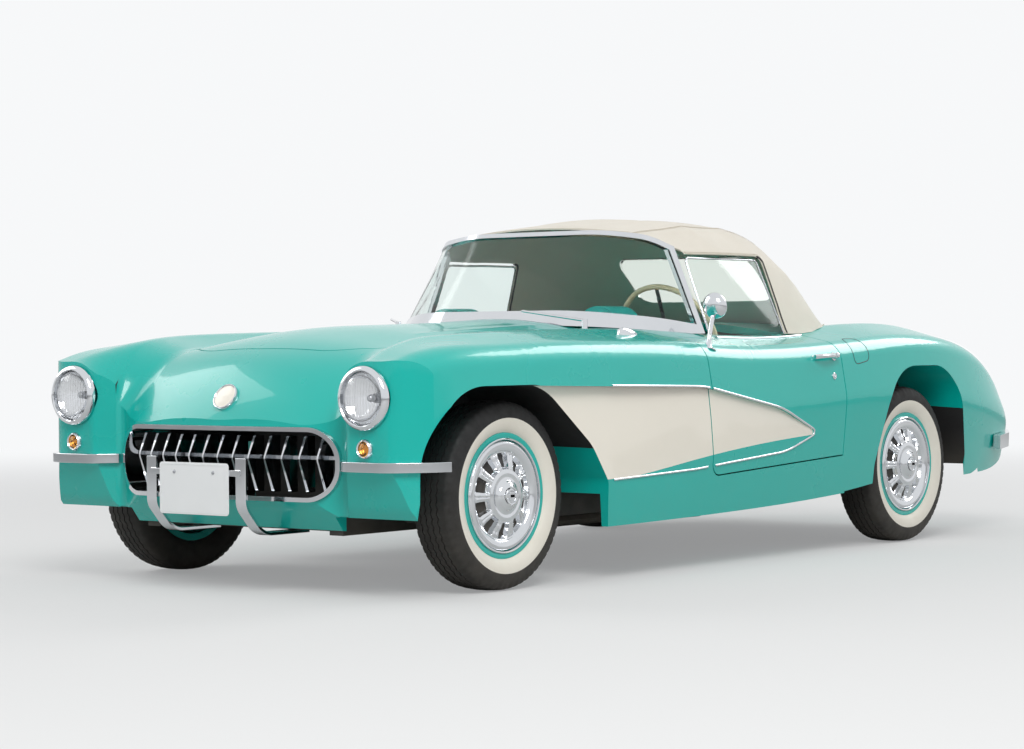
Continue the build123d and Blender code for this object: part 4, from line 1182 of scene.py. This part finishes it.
for column in columns:
    if abs(column) < halfCount - 6:
        spot = clothSpot(column, columnEnds[abs(column)] - 7)
        near = clothTree.find_nearest(spot)
        if near[0]:
            normal = facing(near[1], (0, 0, 1))
            hem.append((near[0] + normal * 0.0005, normal))
band("rearHem", hem, 0.014, 0.002, "body", canvasSeam)
stitch("rearHemStitch", hem, 0.0026)
print("cloth top sewn")

# side glass with its bright frame
glassFrame = {
    "outline": [(1352, 846, 0), (1342, 1134, 20), (1823, 1134, 22), (1863, 846, 0)],
    "lowX": 700,
    "leanX": -0.36,
    "bead": 0.0042,
}
for side, name in bothSides:
    outline = roundMarks(glassFrame["outline"])
    points = [place(side * (glassFrame["lowX"] + glassFrame["leanX"] * (p.y - 838)), p.x, p.y) for p in outline]
    tube("glassFrame" + name, points, glassFrame["bead"], doors[side])
    line = []
    for spot in [place(side * 714, s, 0) for s in range(1370, 1985, 15)]:
        hit = topSkin(spot.x, spot.y, (doors[side],))
        if hit:
            line.append((hit[0] + Vector((0, 0, 0.0006)), facing(hit[1], (0, 0, 1))))
    band("sillTrim" + name, line, 0.014, 0.004, doors[side], chrome)

# round mirror on its stalk
mirror = {
    "head": (806, 1217, 949),
    "looks": (0, -34, -6),
    "stalk": [(822, 1158, 800), (818, 1172, 838), (810, 1196, 885), (806, 1214, 915)],
    "foot": (824, 1152, 786),
    "rises": (-6, 20, 50),
}
head = place(*mirror["head"])
mirrorLine = [(-17, 44), (-18, 47), (-15, 49), (-10, 49), (2, 46.5), (12, 39), (19, 28), (23, 15), (24.5, 0.5)]
mirrorLine += [(-14, 0.5), (-14, 44)]
mirrorHead = lathe("mirrorHead", mirrorLine, head, mirror["looks"], "door_left", angle=40)
mirrorLine = [(-14.6, 44.5), (-15.4, 44), (-15.8, 0.5)]
lathe("mirrorGlass", mirrorLine, head, mirror["looks"], "door_left", steps=64, closed=False)
tube("mirrorStalk", rounded([place(*spot) for spot in mirror["stalk"]], 0.05, 8), 0.0085, "door_left")
footLine = [(0, 30), (3, 31), (7, 27), (12, 17), (26, 11), (44, 9), (44, 0.5), (0, 0.5)]
lathe("mirrorFoot", footLine, place(*mirror["foot"]), mirror["rises"], "door_left", steps=64)
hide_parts("door_mirror")

# door handles, locks and the fuel door
handle = {"from": 1800, "to": 1947, "z": 757, "lock": (1936, 683)}
for side, name in bothSides:
    rider = doors[side]
    spots = []
    for k in range(9):
        t = k / 8
        station = handle["from"] + (handle["to"] - handle["from"]) * t
        hit = sideSkin(station, handle["z"], side, (rider,))
        stand = 0.012 + 0.016 * math.sin(math.pi * min(1.0, t * 1.1)) ** 0.7
        spot = hit[0] + Vector((side * stand, 0, 0.004 * math.sin(math.pi * t)))
        spots.append((spot, Vector((side, 0, 0.3)).normalized()))
    band("handleBar" + name, spots, 0.017, 0.009, rider, chrome, dome=1.5)
    pivot = sideSkin(handle["to"], handle["z"], side, (rider,))[0]
    postLine = [(-2, 17), (4, 17), (8, 14), (14, 11), (26, 10), (30, 6), (31, 0.5), (-2, 0.5)]
    lathe("handlePost" + name, postLine, pivot, (side, 0, 0.3), rider, steps=48)
    lock = sideSkin(*handle["lock"], side, (rider,))[0]
    lockLine = [(-1, 13), (3, 13), (5, 11), (5, 9), (3, 8.5), (4, 0.5), (-1, 0.5)]
    lathe("lockRing" + name, lockLine, lock, (side, 0, 0.1), rider, steps=48)
fuelLine = roundMarks([(2098, 826, 26), (2206, 826, 40), (2216, 742, 34), (2098, 724, 30)], 8, True)
fuelRun = []
for p in even(fuelLine, 6, True):
    hit = sideSkin(p.x, p.y, 1, ("body_shell",))
    if hit:
        fuelRun.append(hit[0] - hit[1] * 0.0006)
tube("fuelDoorGap", fuelRun, 0.0018, "body", blackRubber, cyclic=True)

# bright scoops on the front fenders
scoop = {"x": 738, "station": 772, "length": 118, "width": 40, "height": 24}
for side, name in bothSides:
    verts = []
    rings, steps = 18, 20
    for i in range(rings + 1):
        t = i / rings
        y = scoop["station"] + scoop["length"] * (t - 0.5)
        swell = math.sin(math.pi * (0.06 + 0.94 * t) ** 0.75) ** 0.6 if 0 < t < 1 else 0.02
        for k in range(steps + 1):
            turn = math.pi * k / steps
            x = scoop["x"] + scoop["width"] / 2 * swell * math.cos(turn) * (0.55 + 0.45 * t)
            spot = place(side * x, y, 0)
            ground = topSkin(spot.x, spot.y, ("body_shell",))
            spot.z = ground[0].z + (scoop["height"] * swell * math.sin(turn) - 1) / 1000
            verts.append(spot)
    mesh = meshFrom("fenderScoop" + name, verts, gridFaces(rings, steps), angle=60)
    addPiece("fenderScoop" + name, mesh, "body", chrome)

# bare medallion on the nose, antenna and the plate
medal = {"x": 2, "z": 645, "radius": 42, "lift": 4}
noseHit = skins["body_shell"].ray_cast(place(medal["x"], -900, medal["z"]), Vector(backward))
noseNormal = facing(noseHit[1], forward)
noseSpot = noseHit[0] - Vector((medal["x"] / 1000, 0, 0)) + noseNormal * (medal["lift"] / 1000)
badge = medal["radius"]
ringLine = [(-16, badge + 6), (3, badge + 6.5), (7, badge + 4.5), (8, badge + 2), (6, badge - 0.5), (-16, badge - 0.5)]
lathe("medalRing", ringLine, noseSpot, noseNormal, "body")
faceLine = [(-4, badge), (4.5, badge), (6.5, 30), (7.6, 14), (8, 0.5), (-4, 0.5)]
lathe("medalFace", faceLine, noseSpot, noseNormal, "body", ivory)
plate = {"half": 160, "low": 262, "high": 434, "front": -653.5, "sheet": 2.5, "bolts": (90, 402), "round": 14}
front, boltX, boltZ = plate["front"], *plate["bolts"]
plateLine = roundBox(plate["half"], plate["low"], plate["high"], plate["round"], 8)
sheetMesh = prismMesh(
    "plateSheet", plateLine, lambda p: place(p.x, front, p.y), lambda p: place(p.x, front + plate["sheet"], p.y)
)
modify(addPiece("plateSheet", sheetMesh, "body", plateEnamel), "edges", "BEVEL", width=0.0008, segments=2)
inset = [(place(p.x * 0.955, front - 0.3, (p.y - 348) * 0.92 + 348), Vector(forward)) for p in plateLine]
band("plateRim", inset, 0.0022, 0.0007, "body", plateEnamel, cyclic=True)
boltLine = [(-3, 0.5), (-3, 6.2), (0.5, 6.2), (2.6, 5.4), (3.4, 3.4), (3.7, 0.5)]
for x, name in ((-boltX, "R"), (boltX, "L")):
    lathe("plateBolt" + name, boltLine, place(x, front, boltZ), forward, "body", dullChrome, 32, False)
antenna = {"x": -0.72, "y": 1.18, "leans": 0.012, "height": 0.41, "radius": 0.0022}
mast = topSkin(antenna["x"], antenna["y"], ("body_shell",))[0]
mastTop = mast + Vector((0, antenna["leans"], antenna["height"]))
mastLine = [(-3, 16), (3, 16), (8, 12), (18, 8), (24, 4), (24, 0.5), (-3, 0.5)]
lathe("antennaBase", mastLine, mast, (0, 0, 1), "body", steps=48)
tube("antennaMast", [mast + Vector((0, 0, 0.02)), mastTop], antenna["radius"], "body")
mastLine = [(-4, 0.5), (-4, 3.5), (0, 4), (4, 3.5), (5, 0.5)]
lathe("antennaTip", mastLine, mastTop + Vector((0, 0, 0.002)), (0, 0, 1), "body", steps=24, closed=False)
tips = {"from": 40, "radius": 31, "wall": 2.5, "z": 0.232}
low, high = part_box("exhaust")
outer, inner = tips["radius"], tips["radius"] - tips["wall"]
for side, name in bothSides:
    tipSpot = Vector((side * (high[0] - 0.029), high[1] - tips["from"] / 1000, tips["z"]))
    tipLine = [(-30, outer), (42, outer + 1), (44, outer), (42, inner), (-30, inner)]
    lathe("exhaustTip" + name, tipLine, tipSpot, backward, "body", steps=48)
pull, upright = topSkin(0.0, 1.84, ("trunk_lid",))
ringLine = [(-6, 34), (3, 34.5), (6, 32), (6, 29), (-6, 29)]
lathe("lidBadgeRing", ringLine, pull, upright, "trunk_lid", steps=64)
faceLine = [(-6, 29.5), (3, 29), (5, 14), (5.4, 0.5), (-6, 0.5)]
lathe("lidBadgeFace", faceLine, pull, upright, "trunk_lid", ivory, 64)
print("small bright parts placed")

# steering wheel
steer = {"hub": (370, 1560, 838), "tilt": 25.0, "radius": 212, "rim": 10.5, "grips": 44}
steerAxis = Vector((0, math.cos(math.radians(steer["tilt"])), math.sin(math.radians(steer["tilt"]))))
steerUp = Vector((0, -steerAxis.z, steerAxis.y))
steerHub = place(*steer["hub"])
verts = []
around, ringSteps = 176, 16
for i in range(around):
    turn = 2 * math.pi * i / around
    spoke = turned(leftward, steerUp, turn)
    grip = 0.7 * math.cos(steer["grips"] * turn)
    for k in range(ringSteps):
        roll = 2 * math.pi * k / ringSteps
        thick = steer["rim"] + (grip if math.sin(roll) < -0.2 else 0)
        out = spoke * ((steer["radius"] + thick * math.cos(roll)) / 1000)
        verts.append(steerHub + out + steerAxis * (thick * math.sin(roll) / 1000))
rimMesh = meshFrom("steeringRim", verts, ringFaces(around, ringSteps), angle=60)
wheelRim = addPiece("steeringRim", rimMesh, "steering_wheel", ivoryPlastic)
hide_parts("steering_wheel")
for i, angle in enumerate((90, 210, 330)):
    spoke = turned(leftward, steerUp, math.radians(angle))
    line = []
    for t in (0.1, 0.3, 0.55, 0.8, 1.0):
        spot = steerHub + spoke * (0.206 * t) - steerAxis * (0.012 * (1 - t))
        line.append((spot, steerAxis))
    band("steeringSpoke" + str(i), line, 0.016, 0.004, "steering_wheel", dullChrome)
bossLine = [(-55, 30), (-20, 33), (-6, 36), (2, 35), (6, 31), (6, 0.5), (-55, 0.5)]
lathe("steeringBoss", bossLine, steerHub, steerAxis, "steering_wheel", ivoryPlastic, 64)
capLine = [(4, 30), (8, 29), (11, 24), (12.5, 12), (13, 0.5), (4, 0.5)]
lathe("hornCap", capLine, steerHub, steerAxis, "steering_wheel", steps=64)

# instruments on the dashboard
dials = {
    "speed": (370, 1242.6, 852),
    "small": [(-150, 26), (-75, 26), (0, 30), (75, 26), (150, 26)],
    "knobs": [(200, 790), (250, 790), (-250, 790)],
}


def dial(name, centre, axis, radius, marks):
    ring = [(-1, radius + 4), (4, radius + 4), (6, radius + 1), (4, radius - 2), (-1, radius - 2)]
    lathe(name + "Ring", ring, centre, axis, "body", steps=72)
    disc = [(-1, radius), (1.2, radius - 1), (1.2, 0.5), (-1, 0.5)]
    lathe(name + "Face", disc, centre, axis, "body", darkDial, 48)
    up = facing(axis.cross(leftward).normalized(), (0, 0, 1))
    ticks = []
    for k in range(marks):
        turn = math.radians(225 - 270 * k / (marks - 1))
        way = turned(leftward, up, turn)
        inner, outer = centre + way * (radius * 0.78 / 1000), centre + way * (radius * 0.9 / 1000)
        ticks.append([inner + axis * 0.0016, outer + axis * 0.0016])
    size = (0.0012, 0.0005, radius * 0.055 / 1000)
    repeatAlong(name + "Marks", ticks, radius * 0.06 / 1000, size, "body", palePrint)
    way = turned(leftward, up, math.radians(205))
    needle = [centre + axis * 0.002 + way * (radius * share / 1000) for share in (-0.12, 0.72)]
    tube(name + "Needle", needle, 0.0009, "body", redGlass)


dial("speedDial", place(*dials["speed"]), Vector(backward), 72, 15)
dashTree = treeOf(frame["nodes"]["dashboard"])


def onDash(x, z):
    return dashTree.ray_cast(place(x, 1500, z), Vector(forward))


for i, (x, radius) in enumerate(dials["small"]):
    hit = onDash(x, 838)
    if hit[0]:
        dial("smallDial" + str(i), hit[0] + hit[1] * 0.0004, hit[1].normalized(), radius, 9)
trimHits = [onDash(x, 800) for x in range(-620, 621, 20)]
trimLine = [(hit[0] + hit[1] * 0.0004, hit[1]) for hit in trimHits if hit[0] and hit[0].y < place(0, 1241, 0).y]
band("dashTrim", trimLine, 0.012, 0.003, "body", chrome)
knobLine = [(-1, 5), (8, 5), (9, 11), (17, 12), (19, 9), (19.5, 0.5), (-1, 0.5)]
for (x, z), label in zip(dials["knobs"], "ABC"):
    hit = onDash(x, z)
    if hit[0]:
        lathe("dashKnob" + label, knobLine, hit[0], hit[1], "body", ivoryPlastic, 32)
print("dashboard fitted")

# seats, blown up as cloth and then quilted
seat = {
    "x": 352,
    "half": 214,
    "cushion": [(1446, 306), (1438, 462), (1924, 424), (1918, 306)],
    "back": [(1822, 450), (1925, 846), (1988, 840), (1952, 432), (1936, 372)],
    "corner": 0.034,
    "voxel": 0.009,
    "pressure": 4.0,
    "cap": 0.011,
    "channels": 9,
    "channelWidth": 0.0065,
    "channelDepth": 0.0075,
    "piping": 0.0042,
    "margin": 0.052,
    "frames": 20,
    "quiltAlong": (0.016, 0.364),
    "quiltUp": (0.5, 0.79),
    "pipedAlong": (0.0, 0.385),
    "pipedUp": (0.49, 0.815),
}


def padBlock(outline):  # a block with round corners on the car's centre line
    verts = [place(x * seat["half"], s, z) for x in (-1, 1) for s, z in outline]
    bm = bmesh.new()
    corners = [bm.verts.new(v) for v in verts]
    for face in prismFaces(len(outline)):
        bm.faces.new([corners[i] for i in face])
    bmesh.ops.recalc_face_normals(bm, faces=bm.faces)
    bmesh.ops.bevel(
        bm, geom=bm.edges[:], offset=seat["corner"], segments=4, profile=0.5, affect="EDGES", clamp_overlap=True
    )
    mesh = bpy.data.meshes.new("padBlock")
    bm.to_mesh(mesh)
    bm.free()
    return mesh


def puffed(mesh):  # voxel remesh, cloth under pressure, one subdivision
    piece = linked("padDraft", mesh)
    modify(piece, "grid", "REMESH", mode="VOXEL", voxel_size=seat["voxel"])
    mesh = evaluated(piece)
    start = [v.co.copy() for v in mesh.vertices]
    piece = linked("padDraft", mesh)
    skin = piece.modifiers.new("skin", "CLOTH")
    skin.settings.use_pressure = True
    skin.settings.uniform_pressure_force = seat["pressure"]
    skin.settings.effector_weights.gravity = 0
    skin.point_cache.frame_start = 1
    skin.point_cache.frame_end = seat["frames"]
    for number in range(1, seat["frames"] + 1):
        scene.frame_set(number)
    mesh = evaluated(piece)
    scene.frame_set(1)
    for vertex, before in zip(mesh.vertices, start):
        step = vertex.co - before
        if step.length > seat["cap"]:
            vertex.co = before + step.normalized() * seat["cap"]
    piece = linked("padDraft", mesh)
    modify(piece, "finer", "SUBSURF", levels=1, render_levels=1)
    return evaluated(piece)


def quilt(mesh, way, low, high):  # channels sewn into the face that looks that way
    pitch = 2 * (seat["half"] / 1000 - seat["margin"]) / seat["channels"]
    shifts = []
    for vertex in mesh.vertices:
        look = clamp((vertex.normal.dot(way) - 0.75) / 0.2)
        x, along = vertex.co.x, vertex.co.y if abs(way.z) > 0.7 else vertex.co.z
        inside = clamp((seat["half"] / 1000 - seat["margin"] + 0.004 - abs(x)) / 0.006)
        inside *= clamp((along - low) / 0.012) * clamp((high - along) / 0.012)
        nearest = (x / pitch - 0.5 - round(x / pitch - 0.5)) * pitch
        groove = math.exp(-((nearest / seat["channelWidth"]) ** 2)) * seat["channelDepth"]
        crease = noise.noise(vertex.co * 24) * 0.0012
        shifts.append(-vertex.normal * (look * inside * groove + crease))
    for vertex, shift in zip(mesh.vertices, shifts):
        vertex.co += shift
    mesh.update()


def onTree(tree, point, direction, lift):
    hit = tree.ray_cast(point - direction * 0.5, direction)
    return (hit[0] - direction * lift, -direction) if hit[0] else None


def seatPiece(name, mesh, x, mat):
    copy = mesh.copy()
    copy.transform(Matrix.Translation((x / 1000, 0, 0)))
    smoothAll(copy)
    piece = addPiece(name, copy, "body", mat)
    return piece


cushionMesh = puffed(padBlock(seat["cushion"]))
backMesh = puffed(padBlock(seat["back"]))
(footY, footZ), (headY, headZ) = seat["back"][:2]
rise = Vector((0, headY - footY, headZ - footZ)).normalized()
quilt(cushionMesh, Vector((0, 0.05, 1)).normalized(), *seat["quiltAlong"])
quilt(backMesh, Vector((0, -rise.z, rise.y)), *seat["quiltUp"])
edge = seat["half"] / 1000 - 0.03


def pipingOf(name, piece, ends, spotAt, direction):  # a cord sewn round the face of a pad
    tree = treeOf(piece)
    loop = even(roundBox(edge, *ends, 0.05, 8), 0.012, True)
    line = [onTree(tree, spotAt(p), Vector(direction), 0.0015) for p in loop]
    tube(name, [spot[0] for spot in line if spot], seat["piping"], "body", turquoiseVinyl, cyclic=True)


for side, name in bothSides:
    x = side * seat["x"]
    cushion = seatPiece("seatCushion" + name, cushionMesh, x, beigeVinyl)
    back = seatPiece("seatBack" + name, backMesh, x, beigeVinyl)
    if side > 0:
        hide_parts("seats")
    over, before = lambda p: Vector((p.x + x / 1000, p.y, 0.7)), lambda p: Vector((p.x + x / 1000, 0.1, p.y))
    pipingOf("cushionPiping" + name, cushion, seat["pipedAlong"], over, (0, 0, -1))
    pipingOf("backPiping" + name, back, seat["pipedUp"], before, backward)
print("seats padded")

# camera, stage and light
view = {
    "where": (6.24823, -8.33422, 0.83160),
    "yaw": math.radians(38.3855),
    "pitch": math.radians(-0.7515),
    "roll": math.radians(-0.4064),
    "focal": 2647.02 / 1024 * 36,
}
level = math.cos(view["pitch"])
ahead = Vector((-math.sin(view["yaw"]) * level, math.cos(view["yaw"]) * level, math.sin(view["pitch"])))
right = ahead.cross(Vector((0, 0, 1))).normalized()
upward = right.cross(ahead)
c, s = math.cos(view["roll"]), math.sin(view["roll"])
right, upward = right * c + upward * s, upward * c - right * s
camera = linked("photoCamera", bpy.data.cameras.new("photoCamera"))
camera.data.lens = view["focal"]
camera.data.sensor_width = 36
camera.data.clip_end = 100
camera.matrix_world = Matrix([(right[i], upward[i], -ahead[i], view["where"][i]) for i in range(3)] + [(0, 0, 0, 1)])
scene.camera = camera

floorMesh = bpy.data.meshes.new("floor")
floorMesh.from_pydata([(-60, -60, 0), (60, -60, 0), (60, 60, 0), (-60, 60, 0)], [], [(0, 1, 2, 3)])
floor = linked("floor", floorMesh)
floorMat = bpy.data.materials.new("paleFloor")
floorMat.use_nodes = True
paleColour = (0.93, 0.94, 0.95, 1)
paint = floorMat.node_tree  # far from the car the floor turns into the pale background
surface = paint.nodes["Principled BSDF"]
surface.inputs["Base Color"].default_value = (0.62, 0.62, 0.61, 1)
surface.inputs["Roughness"].default_value = 0.8
where = addNode(paint, "ShaderNodeTexCoord")
away = addNode(paint, "ShaderNodeVectorMath", operation="LENGTH")
fade = addNode(
    paint, "ShaderNodeMapRange", interpolation_type="SMOOTHSTEP",
    in_From_Min=3.0, in_From_Max=11.0, in_To_Min=0.3, in_To_Max=1.0,
)
straight = addNode(paint, "ShaderNodeLightPath")
either = addNode(paint, "ShaderNodeMath", operation="MAXIMUM")
share = addNode(paint, "ShaderNodeMath", operation="MULTIPLY")
glow = addNode(paint, "ShaderNodeEmission", in_Color=paleColour)
mixed = addNode(paint, "ShaderNodeMixShader")
wire(
    paint,
    (where, "Object", away, 0),
    (away, "Value", fade, "Value"),
    (straight, "Is Camera Ray", either, 0),
    (straight, "Is Transmission Ray", either, 1),
    (fade, "Result", share, 0),
    (either, 0, share, 1),
    (share, 0, mixed, 0),
    (surface, 0, mixed, 1),
    (glow, 0, mixed, 2),
    (mixed, 0, paint.nodes["Material Output"], "Surface"),
)
floorMesh.materials.append(floorMat)

world = bpy.data.worlds.new("studio")
scene.world = world
world.use_nodes = True
sky = world.node_tree
rays = addNode(sky, "ShaderNodeLightPath")
seen = addNode(sky, "ShaderNodeMath", operation="ADD", use_clamp=True)
alsoThrough = addNode(sky, "ShaderNodeMath", operation="ADD", use_clamp=True)
soft = sky.nodes["Background"]
soft.inputs["Color"].default_value = (0.95, 0.97, 1.0, 1)
soft.inputs["Strength"].default_value = 0.42
pale = addNode(sky, "ShaderNodeBackground", in_Color=paleColour, in_Strength=1.0)
choose = addNode(sky, "ShaderNodeMixShader")
wire(
    sky,
    (rays, "Is Camera Ray", seen, 0),
    (rays, "Is Transmission Ray", seen, 1),
    (seen, 0, alsoThrough, 0),
    (rays, "Is Glossy Ray", alsoThrough, 1),
    (alsoThrough, 0, choose, 0),
    (soft, 0, choose, 1),
    (pale, 0, choose, 2),
    (choose, 0, sky.nodes["World Output"], "Surface"),
)


def areaLight(name, where, target, size, power):
    data = bpy.data.lights.new(name, "AREA")
    data.energy = power
    data.size = size
    lampHolder = linked(name, data)
    lampHolder.location = where
    lampHolder.rotation_euler = (Vector(target) - Vector(where)).to_track_quat("-Z", "Y").to_euler()


areaLight("keyLight", (5.5, -6.0, 6.5), (0, 0, 0.4), 4.0, 520)
areaLight("fillLight", (-6.5, -3.0, 4.5), (0, 0, 0.5), 5.0, 200)
areaLight("rearLight", (2.0, 7.0, 5.5), (0, 0, 0.5), 4.0, 260)
print("stage lit")
